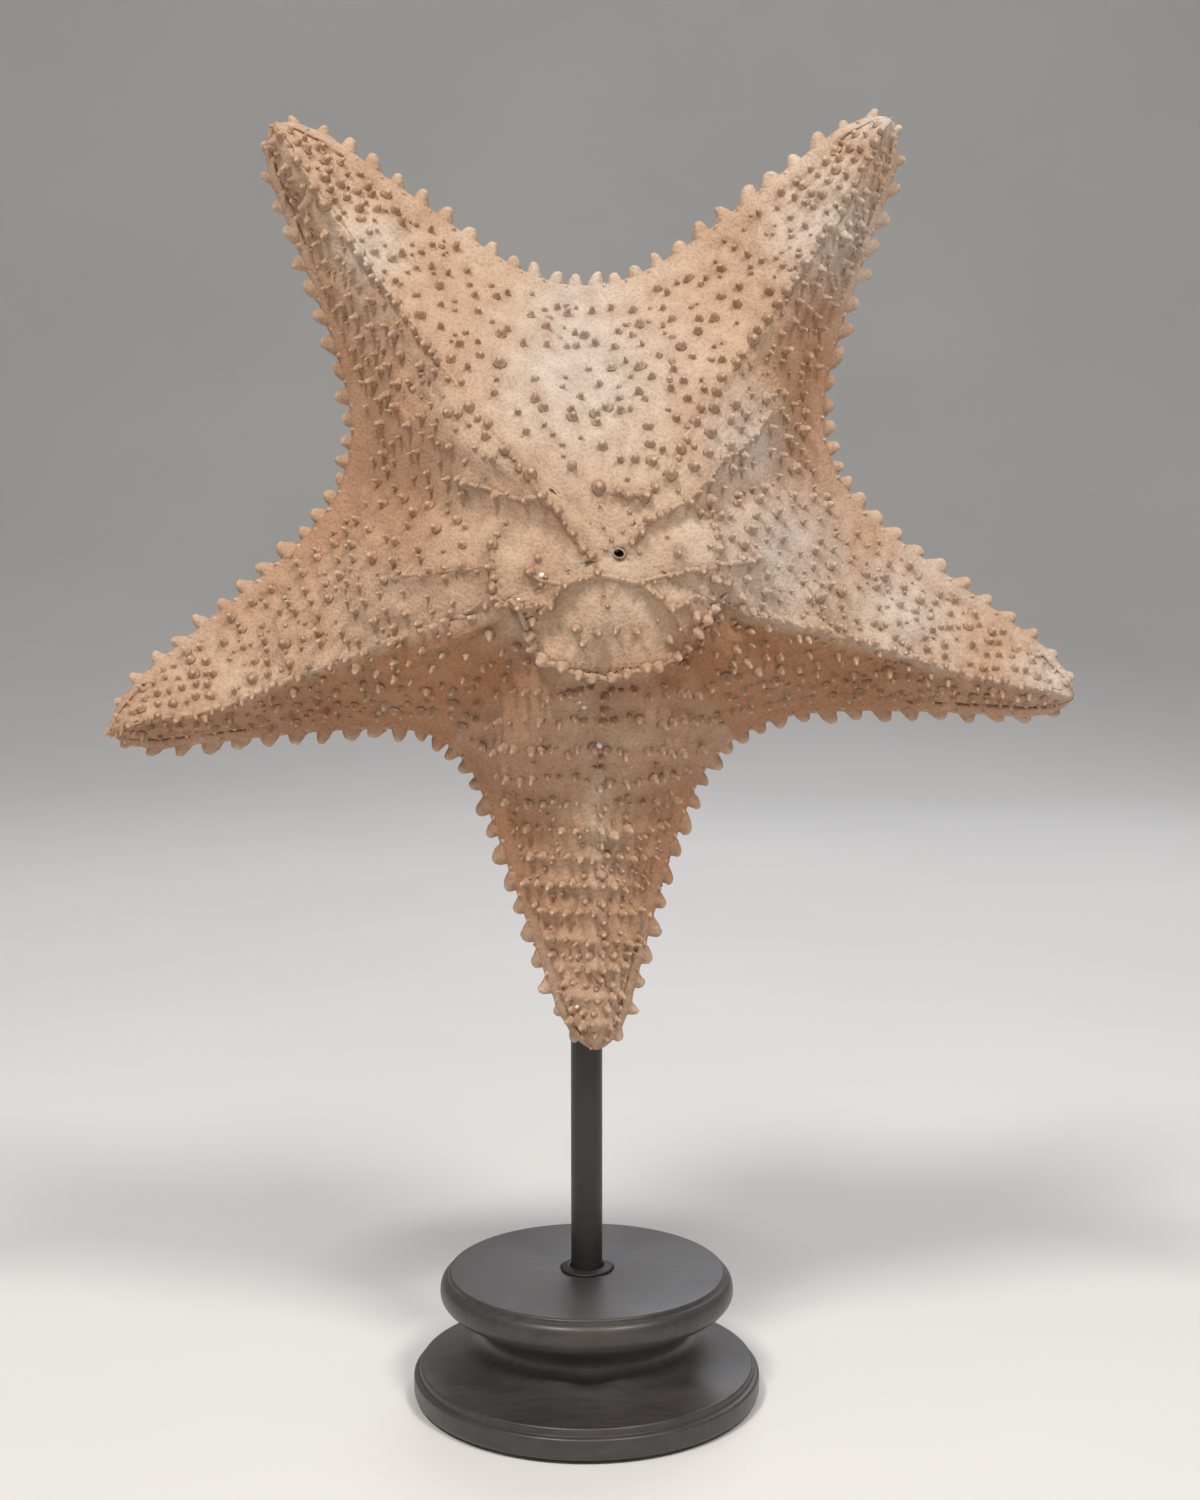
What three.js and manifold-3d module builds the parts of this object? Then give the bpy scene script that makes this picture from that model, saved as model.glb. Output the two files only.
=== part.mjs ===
// A dried cushion sea star mounted on a black rod in an ebonised turned foot.
// Millimetres, +Z up. The origin is on the rod's axis where the felt meets the table, and the star's
// upper (aboral) side faces -Y.
import * as THREE from "three";
import { mergeVertices } from "three/addons/utils/BufferGeometryUtils.js";
import Module from "manifold-3d";

const wasm = await Module();
wasm.setup();

// ---------------------------------------------------------------- driving dimensions

const GAP = 0.3; // kept between pieces that touch

// Star. Its own frame is (right, up, front), with the mouth at (0, 0, 0) on the flat oral plane.
const STAR_CENTRE_HEIGHT = 270.6;
const ORAL_PLANE_TO_ROD = 5.6;
const TIP_RADIUS = 153.5;
const APEX_HEIGHT = 53;
const APEX_SHIFT = { right: 8.5, up: -1 };
const NO_SHIFT = { right: 0, up: 0 };
const MARGIN_TAPER = 0.305; // half-width lost for each millimetre along an arm
const MARGIN_START = 53.9; // half-width that the straight taper would reach at the centre
const MARGIN_THICKNESS = { disc: 10.5, arm: 8 };
const MARGIN_BULGE = 3;
const BEND_FROM = 65;
const TIP_ROUND_FROM = 140;
const TIP_MID_HEIGHT = 6;
const TIP_CURL = 8;
const TIP_CURL_FROM = 75;
const MOUTH_RADIUS = 9;
const MOUTH_DEPTH = 8;
const FURROW_DEPTH = 5;
const FURROW_HALF_WIDTH = 6.2;
const FURROW_TAPER = 0.024;
const FURROW_FLOOR_SHARE = 0.65;
const FAN_START = 61.5;
const FAN_END = 92; // past this distance the cross rows stand square to the arm

// Each arm: direction, sideways bend of its tip, sideways place of its ridge (both anticlockwise from the
// front), and how far out and how sharply its ridge falls away. From the upper right, anticlockwise.
const ARMS = [
  { angle: 54.8, bend: -0.8, ridge: -5, fallRadius: 68, fallPower: 2.4, ridgeFoot: 11 },
  { angle: 125.5, bend: 3, ridge: 3, fallRadius: 68, fallPower: 2.4, ridgeFoot: 11 },
  { angle: 199.5, bend: 4.4, ridge: 6.5, fallRadius: 66, fallPower: 2.6, ridgeFoot: 11 },
  { angle: 270, bend: 3, ridge: 4, fallRadius: 57, fallPower: 3.3, ridgeFoot: 12 },
  { angle: 345.1, bend: -5.6, ridge: -5.5, fallRadius: 66, fallPower: 2.6, ridgeFoot: 11 },
];
// Radius of the margin between each arm and the next, and the shape of the slope that leads down to it:
// a smaller power keeps the disc full for longer before it drops.
const NOTCHES = [
  { radius: 77.5, slopePower: 0.66 },
  { radius: 75.8, slopePower: 0.62 },
  { radius: 73, slopePower: 0.5 },
  { radius: 73.5, slopePower: 0.5 },
  { radius: 78.4, slopePower: 0.62 },
];

const SPINE = { length: 6, stand: 4, baseRadius: 2.4, tipRadius: 0.9, sides: 5 };
const SPINE_PITCH = { notch: 6, arm: 8.6, easedOver: 35 };
const SPINE_LEAN = 0.35; // towards the arm's tip

// Stand.
const ROD_RADIUS = 5;
const ROD_TOP = 262;
const THREAD_RADIUS = 3.9;
const FELT = { radius: 52.5, thickness: 1 };
const BASE_BOTTOM = FELT.thickness + GAP;
const BASE_TOP = 40.6;
const COUNTERBORE = { radius: 11, roof: 15 };
const SHOULDER_HEIGHT = 24;
const WASHER = { radius: 8, thickness: 1.6 };
const NUT = { acrossFlats: 13, thickness: 6.5 };
const COLLAR = { outer: 9, height: 0.9 };
const RESIN = { low: -62, high: -12, wingHalfWidth: 9.4, behindRod: 2.2 };
const ROUND_SIDES = 40;

const COLOURS = {
  star: 0xb9926a,
  rod: 0x2b2a29,
  wood: 0x2f2c2a,
  steel: 0x9a9a98,
  felt: 0x1f2a22,
  resin: 0x4a3c2c,
  collar: 0x262423,
};

// ---------------------------------------------------------------- small helpers

const radians = THREE.MathUtils.degToRad;
const smooth = (t) => THREE.MathUtils.smoothstep(t, 0, 1);

// A closed triangle mesh from loose triangles, with shared corners merged.
function closedGeometry(corners) {
  const geometry = new THREE.BufferGeometry();
  geometry.setAttribute("position", new THREE.Float32BufferAttribute(corners, 3));
  return mergeVertices(geometry, 1e-3);
}

function toSolid(geometry) {
  const bare = geometry.clone();
  bare.deleteAttribute("normal");
  bare.deleteAttribute("uv");
  const merged = mergeVertices(bare, 1e-3);
  const mesh = new wasm.Mesh({
    numProp: 3,
    vertProperties: new Float32Array(merged.attributes.position.array),
    triVerts: new Uint32Array(merged.index.array),
  });
  return new wasm.Manifold(mesh);
}

function toGeometry(solid) {
  const mesh = solid.getMesh();
  const geometry = new THREE.BufferGeometry();
  geometry.setAttribute("position", new THREE.BufferAttribute(mesh.vertProperties, 3));
  geometry.setIndex(new THREE.BufferAttribute(mesh.triVerts, 1));
  return geometry.toNonIndexed();
}

function named(name, geometry, colour, roughness, metalness = 0) {
  geometry.computeVertexNormals();
  const material = new THREE.MeshStandardMaterial({ color: colour, roughness, metalness });
  const mesh = new THREE.Mesh(geometry, material);
  mesh.name = name;
  return mesh;
}

// ---------------------------------------------------------------- the star's measures along an arm

// How far x lies into the arm's rounded end, from 0 where it starts to 1 at the tip.
function tipShare(x) {
  return THREE.MathUtils.clamp((x - TIP_ROUND_FROM) / (TIP_RADIUS - TIP_ROUND_FROM), 0, 1);
}

// 1 along the arm, falling to 0 at the tip as a quarter of an ellipse, so that every measure rounds off.
function tipRounding(x) {
  return Math.sqrt(1 - tipShare(x) ** 2);
}

// A half arm runs from the notch beside it to its tip. halfGap is the angle between the two.
function halfArm(arm, notch, halfGap) {
  const notchX = notch.radius * Math.cos(halfGap);
  const notchWidth = notch.radius * Math.sin(halfGap);
  const startSlope = 1 / Math.tan(halfGap) - MARGIN_TAPER;
  const fade = (notchWidth + MARGIN_TAPER * notchX - MARGIN_START) / startSlope;
  return { arm, notch, halfGap, notchX, notchWidth, startSlope, fade };
}

// Half-width of the arm at x before its end is rounded: a straight taper plus a flare that fades out from
// the notch.
function squareWidth(half, x) {
  const from = x - half.notchX;
  const flare = half.startSlope * half.fade * (1 - Math.exp(-from / half.fade));
  return half.notchWidth - MARGIN_TAPER * from - flare;
}

function outlineWidth(half, x) {
  return squareWidth(half, x) * tipRounding(x);
}

// Distance along the arm of cross row a, from 0 at the notch to 1 at the tip, closer towards the tip.
function rowDistance(notchX, a) {
  return notchX + (TIP_RADIUS - notchX) * (1 - Math.pow(1 - a, 1.6));
}

// How far row a's inner end is drawn back towards the centre: 1 at the notch, 0 past FAN_END. It is the
// same for both halves of an arm, so that they meet along the ridge and the furrow.
function fanBack(a) {
  return 1 - smooth((rowDistance(FAN_START, a) - FAN_START) / (FAN_END - FAN_START));
}

// Sideways place of the arm's middle line, which bends from BEND_FROM on.
function tipBend(arm, x) {
  const t = Math.max(0, (x - BEND_FROM) / (TIP_RADIUS - BEND_FROM));
  return arm.bend * t * t;
}

// Sideways place of the ridge from the middle line: none at the centre and none at the tip.
function ridgeShift(arm, x) {
  return arm.ridge * smooth(x / 40) * (1 - smooth((x - 115) / 38));
}

// Height of the ridge: full at the centre, half gone at the arm's fall radius, and near ridgeFoot beyond.
function ridgeHeight(arm, x) {
  const fallen = 1 + Math.pow(x / arm.fallRadius, arm.fallPower);
  const height = arm.ridgeFoot + (APEX_HEIGHT - arm.ridgeFoot) / fallen;
  return TIP_MID_HEIGHT + (height - TIP_MID_HEIGHT) * tipRounding(x);
}

function marginThickness(x) {
  const t = smooth((x - 60) / 40);
  return MARGIN_THICKNESS.disc + (MARGIN_THICKNESS.arm - MARGIN_THICKNESS.disc) * t;
}

// How far the arm's outer part lifts to the front.
function curl(x) {
  const t = Math.max(0, (x - TIP_CURL_FROM) / (TIP_RADIUS - TIP_CURL_FROM));
  return TIP_CURL * t * t;
}

// ---------------------------------------------------------------- the star's surface

// A point from the arm's own frame (x along it, y to its side) to the star's plane, at a height in front
// of the oral plane. side is +1 for the anticlockwise half of the arm, -1 for the other.
function place(half, side, x, y, height, shift = NO_SHIFT) {
  const angle = radians(half.arm.angle);
  const across = side * y + tipBend(half.arm, x);
  const right = x * Math.cos(angle) - across * Math.sin(angle) + shift.right;
  const up = x * Math.sin(angle) + across * Math.cos(angle) + shift.up;
  return new THREE.Vector3(right, -ORAL_PLANE_TO_ROD - height - curl(x), STAR_CENTRE_HEIGHT + up);
}

// The outline's point and outward direction in the arm's frame. The tangent is the derivative of the
// width times its rounding, scaled by the rounding so that it stays finite at the tip.
function outline(half, x) {
  const rounding = tipRounding(x);
  const slope = -MARGIN_TAPER - half.startSlope * Math.exp(-(x - half.notchX) / half.fade);
  const closing = (squareWidth(half, x) * tipShare(x)) / (TIP_RADIUS - TIP_ROUND_FROM);
  const along = rounding;
  const across = slope * rounding * rounding - closing;
  const length = Math.hypot(along, across);
  return { x, y: outlineWidth(half, x), outX: -across / length, outY: along / length };
}

// One row across a half arm: from its ridge over the flank, round the margin and along the oral side to
// the middle of the furrow.
function crossRow(half, side, a) {
  const { arm, notch } = half;
  const x = rowDistance(half.notchX, a);
  const back = fanBack(a);
  const ridgeX = rowDistance(FAN_START, a) - FAN_START * back;
  const edge = outline(half, x);
  const bulge = MARGIN_BULGE * tipRounding(x);
  const innerX = edge.x - bulge * edge.outX;
  const innerY = Math.max(0, edge.y - bulge * edge.outY);
  const rounding = tipRounding(x);
  const thickness = marginThickness(x);
  const marginTop = TIP_MID_HEIGHT + (thickness - TIP_MID_HEIGHT) * rounding;
  const marginFoot = TIP_MID_HEIGHT * (1 - rounding);
  const crest = ridgeHeight(arm, ridgeX);
  const points = [];

  // Flank. On an arm it is a rounded roof, and on the disc a full cushion that falls to the notch.
  const flankSteps = 5;
  const discShare = Math.pow(back, 0.7);
  for (let i = 0; i < flankSteps; i += 1) {
    const b = 1 - i / flankSteps;
    const roof = 1 - Math.pow(1 - b, 1.35);
    const cushion = smooth(Math.pow(b, notch.slopePower));
    const profile = roof + (cushion - roof) * discShare;
    const height = marginTop + (crest - marginTop) * profile;
    const apexPull = 1 - smooth(ridgeX / 45);
    const ridge = side * ridgeShift(arm, ridgeX);
    const shift = { right: APEX_SHIFT.right * apexPull * b, up: APEX_SHIFT.up * apexPull * b };
    const flankX = innerX + (ridgeX - innerX) * b;
    const flankY = innerY + (ridge - innerY) * b;
    points.push(place(half, side, flankX, flankY, height, shift));
  }

  // Margin, half an ellipse from its top to its foot.
  const marginSteps = 3;
  for (let i = 0; i <= marginSteps; i += 1) {
    const turn = Math.PI * (0.5 - i / marginSteps);
    const outward = bulge * Math.cos(turn);
    const middle = (marginTop + marginFoot) / 2;
    const height = middle + ((marginTop - marginFoot) / 2) * Math.sin(turn);
    points.push(place(half, side, innerX + outward * edge.outX, innerY + outward * edge.outY, height));
  }

  // Oral side, a shallow hollow, and then the furrow's wall and floor.
  const furrowX = x - (half.notchX - MOUTH_RADIUS * Math.cos(half.halfGap)) * back;
  const mouthWidth = MOUTH_RADIUS * Math.sin(half.halfGap);
  const openWidth = FURROW_HALF_WIDTH - FURROW_TAPER * furrowX;
  const furrowY = Math.min((openWidth + (mouthWidth - openWidth) * back) * rounding, innerY);
  const hollow = 0.8 * rounding;
  points.push(place(half, side, (innerX + furrowX) / 2, (innerY + furrowY) / 2, marginFoot + hollow));
  points.push(place(half, side, furrowX, furrowY, marginFoot));
  const fullDepth = FURROW_DEPTH + (MOUTH_DEPTH - FURROW_DEPTH) * back;
  const floorX = ridgeX + (furrowX - ridgeX) * FURROW_FLOOR_SHARE;
  points.push(place(half, side, floorX, furrowY * FURROW_FLOOR_SHARE, marginFoot + fullDepth * rounding));
  const middleRounding = tipRounding(ridgeX);
  const middleHeight = TIP_MID_HEIGHT + (fullDepth - TIP_MID_HEIGHT) * middleRounding;
  points.push(place(half, side, ridgeX, 0, middleHeight));
  return points;
}

// Adds a triangle, unless two of its corners are one, as they are at a tip.
function addTriangle(corners, a, b, c) {
  const shortest = Math.min(a.distanceTo(b), b.distanceTo(c), c.distanceTo(a));
  if (shortest < 1e-3) {
    return;
  }
  for (const point of [a, b, c]) {
    corners.push(point.x, point.y, point.z);
  }
}

// A half arm's skin, as a grid of rows, turned so that it faces out on both halves.
function addHalfArm(corners, half, side) {
  const rows = 13;
  const grid = [];
  for (let i = 0; i <= rows; i += 1) {
    grid.push(crossRow(half, side, i / rows));
  }
  for (let i = 0; i < rows; i += 1) {
    for (let j = 0; j < grid[0].length - 1; j += 1) {
      const quad = [grid[i][j], grid[i][j + 1], grid[i + 1][j + 1], grid[i + 1][j]];
      if (side > 0) {
        quad.reverse();
      }
      addTriangle(corners, quad[0], quad[1], quad[2]);
      addTriangle(corners, quad[0], quad[2], quad[3]);
    }
  }
}

// ---------------------------------------------------------------- the marginal spines

// Distances along the arm at which the spines stand, a pitch apart along the outline.
function spineDistances(half) {
  const distances = [];
  const step = 0.25;
  let travelled = 0;
  let next = SPINE_PITCH.notch / 2;
  for (let x = half.notchX; x < TIP_RADIUS - step; x += step) {
    travelled += Math.hypot(step, outlineWidth(half, x + step) - outlineWidth(half, x));
    if (travelled >= next) {
      distances.push(x);
      const eased = Math.min(1, travelled / SPINE_PITCH.easedOver);
      next += SPINE_PITCH.notch + (SPINE_PITCH.arm - SPINE_PITCH.notch) * eased;
    }
  }
  return distances;
}

// A blunt cone that stands out of the margin's middle and leans to the tip.
function spineSolid(half, side, x) {
  const edge = outline(half, x);
  const middle = TIP_MID_HEIGHT * (1 - tipRounding(x)) + marginThickness(x) * 0.5;
  const root = SPINE.length - SPINE.stand;
  const start = place(half, side, edge.x - root * edge.outX, edge.y - root * edge.outY, middle);
  const endX = edge.x + SPINE.stand * (edge.outX + SPINE_LEAN * edge.outY);
  const endY = edge.y + SPINE.stand * (edge.outY - SPINE_LEAN * edge.outX);
  const end = place(half, side, endX, endY, middle + 0.5);
  const direction = end.clone().sub(start);
  const length = direction.length();
  const cone = new THREE.CylinderGeometry(SPINE.tipRadius, SPINE.baseRadius, length, SPINE.sides, 1);
  cone.translate(0, length / 2, 0);
  const coneAxis = new THREE.Vector3(0, 1, 0);
  cone.applyQuaternion(new THREE.Quaternion().setFromUnitVectors(coneAxis, direction.normalize()));
  cone.translate(start.x, start.y, start.z);
  return toSolid(cone);
}

function starGeometry() {
  const corners = [];
  const halves = [];
  ARMS.forEach((arm, index) => {
    const following = ARMS[(index + 1) % ARMS.length];
    const gap = (following.angle - arm.angle + 360) % 360;
    const halfGap = radians(gap / 2);
    halves.push({ half: halfArm(arm, NOTCHES[index], halfGap), side: 1 });
    halves.push({ half: halfArm(following, NOTCHES[index], halfGap), side: -1 });
  });
  for (const { half, side } of halves) {
    addHalfArm(corners, half, side);
  }
  let solid = toSolid(closedGeometry(corners));
  for (const { half, side } of halves) {
    for (const x of spineDistances(half)) {
      solid = solid.add(spineSolid(half, side, x));
    }
  }
  return toGeometry(solid);
}

// ---------------------------------------------------------------- the stand

// A lathe shape from profile points (radius, height) that closes on itself or on the axis.
function turned(points, sides = ROUND_SIDES) {
  const geometry = new THREE.LatheGeometry(points, sides);
  geometry.rotateX(Math.PI / 2);
  return geometry;
}

function point(radius, height) {
  return new THREE.Vector2(radius, height);
}

// Foot: a plinth with a stepped edge, a flare that rises in a cove to the neck, and a thick round-edged
// top plate, bored for the rod and counterbored below for its nut.
function baseGeometry() {
  const rim = new THREE.Path();
  rim.moveTo(54.6, BASE_BOTTOM);
  rim.lineTo(55.4, BASE_BOTTOM + 0.8);
  rim.lineTo(55.4, 7.1);
  rim.quadraticCurveTo(55.4, 8, 54.5, 8.1);
  rim.lineTo(53.6, 8.3);
  rim.lineTo(53.4, 10);
  rim.quadraticCurveTo(53.2, 10.6, 52.4, 10.6);
  rim.bezierCurveTo(42.5, 11.8, 34, 14.5, 33.2, 20.5);
  rim.bezierCurveTo(33, 24.2, 36.4, 26.2, 40.6, 28.2);
  rim.bezierCurveTo(44.6, 30, 46.9, 31.8, 46.9, 34.4);
  rim.bezierCurveTo(46.9, 37, 46.2, 38.4, 44.9, 39);
  rim.lineTo(44.4, 39.2);
  rim.lineTo(44.2, 40.2);
  rim.lineTo(43.7, BASE_TOP);
  const boreRadius = ROD_RADIUS + GAP;
  const threadHole = THREAD_RADIUS + GAP;
  const profile = [
    point(COUNTERBORE.radius, BASE_BOTTOM),
    ...rim.getPoints(4),
    point(boreRadius, BASE_TOP),
    point(boreRadius, SHOULDER_HEIGHT - GAP),
    point(threadHole, SHOULDER_HEIGHT - GAP),
    point(threadHole, COUNTERBORE.roof),
    point(COUNTERBORE.radius, COUNTERBORE.roof),
    point(COUNTERBORE.radius, BASE_BOTTOM),
  ];
  return turned(profile);
}

// Rod with a shoulder and a thinner threaded end for the nut.
function rodGeometry() {
  const threadEnd = COUNTERBORE.roof - GAP - WASHER.thickness - GAP - NUT.thickness - 1.5;
  return turned([
    point(0, threadEnd),
    point(THREAD_RADIUS, threadEnd),
    point(THREAD_RADIUS, SHOULDER_HEIGHT),
    point(ROD_RADIUS, SHOULDER_HEIGHT),
    point(ROD_RADIUS, ROD_TOP - 0.6),
    point(ROD_RADIUS - 0.6, ROD_TOP),
    point(0, ROD_TOP),
  ], 32);
}

function ringGeometry(inner, outer, low, high, sides = 32) {
  const section = [point(inner, low), point(outer, low), point(outer, high), point(inner, high), point(inner, low)];
  return turned(section, sides);
}

function washerGeometry() {
  const top = COUNTERBORE.roof - GAP;
  return ringGeometry(THREAD_RADIUS + GAP, WASHER.radius, top - WASHER.thickness, top);
}

function nutGeometry() {
  const top = COUNTERBORE.roof - GAP - WASHER.thickness - GAP;
  const corner = NUT.acrossFlats / Math.sqrt(3);
  const hexagon = new THREE.Shape();
  for (let i = 0; i < 6; i += 1) {
    const turn = (i * Math.PI) / 3;
    const [x, y] = [corner * Math.cos(turn), corner * Math.sin(turn)];
    if (i === 0) {
      hexagon.moveTo(x, y);
    } else {
      hexagon.lineTo(x, y);
    }
  }
  hexagon.closePath();
  const hole = new THREE.Path();
  hole.absarc(0, 0, THREAD_RADIUS + GAP, 0, Math.PI * 2, true);
  hexagon.holes.push(hole);
  const geometry = new THREE.ExtrudeGeometry(hexagon, {
    depth: NUT.thickness,
    bevelEnabled: false,
    curveSegments: 12,
  });
  geometry.translate(0, 0, top - NUT.thickness);
  return geometry;
}

function feltGeometry() {
  const { radius, thickness } = FELT;
  return turned([point(0, 0), point(radius, 0), point(radius, thickness), point(0, thickness)]);
}

// A low collar of black filler where the rod enters the top plate.
function collarGeometry() {
  const low = BASE_TOP + GAP;
  const inner = ROD_RADIUS + GAP;
  return turned([
    point(inner, low),
    point(COLLAR.outer, low),
    point(COLLAR.outer - 1.2, low + COLLAR.height * 0.6),
    point(inner + 0.6, low + COLLAR.height),
    point(inner, low + COLLAR.height),
    point(inner, low),
  ], 32);
}

// Cast resin that fills the lower arm's furrow and cradles the rod, open behind it.
function resinGeometry() {
  const front = -ORAL_PLANE_TO_ROD;
  const furrowFill = { depth: 4.3, floor: 2.4, mouth: 3.9 };
  const channel = ROD_RADIUS + GAP;
  const lip = Math.sqrt(channel * channel - RESIN.behindRod * RESIN.behindRod);
  const startTurn = Math.atan2(RESIN.behindRod, lip);
  const section = new THREE.Shape();
  section.moveTo(-furrowFill.floor, front - furrowFill.depth);
  section.lineTo(furrowFill.floor, front - furrowFill.depth);
  section.lineTo(furrowFill.mouth, front + GAP);
  section.lineTo(RESIN.wingHalfWidth, front + GAP);
  section.lineTo(RESIN.wingHalfWidth - 0.5, -1);
  section.lineTo(lip + 1.4, RESIN.behindRod);
  section.lineTo(lip, RESIN.behindRod);
  section.absarc(0, 0, channel, startTurn, Math.PI - startTurn, true);
  section.lineTo(-lip - 1.4, RESIN.behindRod);
  section.lineTo(-RESIN.wingHalfWidth + 0.5, -1);
  section.lineTo(-RESIN.wingHalfWidth, front + GAP);
  section.lineTo(-furrowFill.mouth, front + GAP);
  section.closePath();
  const geometry = new THREE.ExtrudeGeometry(section, {
    depth: RESIN.high - RESIN.low,
    bevelEnabled: false,
    curveSegments: 16,
  });
  geometry.translate(0, 0, STAR_CENTRE_HEIGHT + RESIN.low);
  return geometry;
}

// ---------------------------------------------------------------- the object

const object = new THREE.Group();
object.add(named("starfish", starGeometry(), COLOURS.star, 0.85));
object.add(named("resin_bed", resinGeometry(), COLOURS.resin, 0.45));
object.add(named("stand_rod", rodGeometry(), COLOURS.rod, 0.5, 0.2));
object.add(named("rod_collar", collarGeometry(), COLOURS.collar, 0.6));
object.add(named("turned_base", baseGeometry(), COLOURS.wood, 0.45));
object.add(named("rod_washer", washerGeometry(), COLOURS.steel, 0.4, 1));
object.add(named("rod_nut", nutGeometry(), COLOURS.steel, 0.4, 1));
object.add(named("felt_pad", feltGeometry(), COLOURS.felt, 1));

export default object;
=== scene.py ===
"""A dried cushion sea star on its turned stand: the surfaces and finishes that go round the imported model.

The sea star is one grown thing. Its skin is a net of small plates under dried hide, raised into ridges,
studded with tubercles and fringed by marginal spines. The stand is a painted steel rod in an ebonised
turned foot. Sizes inside the classes are in millimetres, and meshes are made in metres.
"""

import logging
import math
from dataclasses import dataclass, field
from enum import Enum
from typing import Callable

import bpy
import numpy as np
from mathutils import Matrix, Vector


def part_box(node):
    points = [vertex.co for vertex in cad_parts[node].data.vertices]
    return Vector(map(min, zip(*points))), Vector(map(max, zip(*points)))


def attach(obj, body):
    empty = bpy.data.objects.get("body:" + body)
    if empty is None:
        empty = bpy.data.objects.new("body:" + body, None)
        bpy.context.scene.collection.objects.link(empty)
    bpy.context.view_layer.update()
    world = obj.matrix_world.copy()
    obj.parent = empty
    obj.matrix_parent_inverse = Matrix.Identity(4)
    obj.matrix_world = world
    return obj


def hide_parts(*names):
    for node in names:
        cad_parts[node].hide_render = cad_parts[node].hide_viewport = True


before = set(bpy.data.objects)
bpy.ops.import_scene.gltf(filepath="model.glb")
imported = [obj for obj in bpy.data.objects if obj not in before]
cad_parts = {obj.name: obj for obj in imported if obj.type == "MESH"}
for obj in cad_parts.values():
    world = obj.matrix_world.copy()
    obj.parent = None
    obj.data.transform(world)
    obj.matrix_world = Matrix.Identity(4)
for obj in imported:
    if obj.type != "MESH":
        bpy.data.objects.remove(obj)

LOG = logging.getLogger("sea_star")
MM = 0.001
BODY = "root"
Array = np.ndarray
Tints = dict[str, Array]


# ------------------------------------------------------------------ arithmetic shared by the shapes


def smooth(t: Array) -> Array:
    """Smoothstep: 0 below 0, 1 above 1, and 3t^2 - 2t^3 between."""
    t = np.clip(t, 0.0, 1.0)
    return t * t * (3.0 - 2.0 * t)


def unit(vectors: Array) -> Array:
    """Each row of vectors divided by its own length."""
    return vectors / np.maximum(np.linalg.norm(vectors, axis=-1, keepdims=True), 1e-12)


def bell(distance: Array, width: float | Array) -> Array:
    """A Gaussian crest: 1 where the distance is 0, fading over the width."""
    return np.exp(-((distance / width) ** 2))


@dataclass(frozen=True)
class Lumps:
    """Smooth, seeded unevenness: the mean of sine waves in random directions.

    Args:
        size: distance between lumps, in millimetres.
        seed: seed of the random directions and phases.
    """

    size: float
    seed: int
    waves: int = 9

    def at(self, points: Array) -> Array:
        """Values of about -1 to 1 at points.

        Args:
            points: (N, 3) places in millimetres.

        Returns:
            (N,) the sum of sin(direction . point / size + phase), scaled to about unit height.
        """
        rng = np.random.default_rng(self.seed)
        directions = unit(rng.normal(size=(self.waves, 3)))
        speed = rng.uniform(0.7, 1.5, self.waves) * 2.0 * math.pi / self.size
        phase = rng.uniform(0.0, 2.0 * math.pi, self.waves)
        wave = np.sin(points @ directions.T * speed + phase)
        return wave.sum(axis=-1) / math.sqrt(self.waves)


def cusp(distance: Array, width: float | Array, blunt: float = 0.45) -> Array:
    """A crest with hollow flanks, like hide drawn over a wire: exp(-d / width), blunted at the top."""
    return np.exp(-(np.hypot(distance, blunt) - blunt) / width)


Line = tuple[tuple[float, float], ...]


def from_stretches(points: Array, starts: Array, along: Array) -> tuple[Array, Array, Array]:
    """Offsets of plan points from straight stretches.

    Args:
        points: (N, 2) places in the star's plane.
        starts: (M, 2) starts of the stretches.
        along: (M, 2) the stretches from start to end.

    Returns:
        (N, M, 2) offsets from the starts, the share of each stretch at which the nearest place lies (the
        clamped projection), and the distance to that place.
    """
    offset = points[:, None, :] - starts[None]
    share = np.clip((offset * along).sum(axis=2) / (along**2).sum(axis=1), 0.0, 1.0)
    gap = offset - share[..., None] * along
    return offset, share, np.sqrt((gap**2).sum(axis=2))


def distance_to_lines(points: Array, lines: tuple[Line, ...]) -> Array:
    """Distance from (N, 2) plan points to the nearest stretch of some polylines of (right, up) corners."""
    starts = np.array([p for line in lines for p in line[:-1]], float)
    ends = np.array([p for line in lines for p in line[1:]], float)
    return from_stretches(points, starts, ends - starts)[2].min(axis=1)


def travelled(path: Array) -> Array:
    """Distance travelled along a path of points at each of them, from 0."""
    return np.concatenate([[0.0], np.cumsum(np.linalg.norm(np.diff(path, axis=0), axis=1))])


def turns(sides: int) -> Array:
    """The angles of equal steps round a circle, as a column."""
    return np.linspace(0.0, 2.0 * math.pi, sides, endpoint=False)[:, None]


def heights_of(node: str) -> tuple[float, float]:
    """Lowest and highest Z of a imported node, in millimetres."""
    low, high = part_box(node)
    return low.z / MM, high.z / MM


# ------------------------------------------------------------------ meshes from whole arrays


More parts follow.
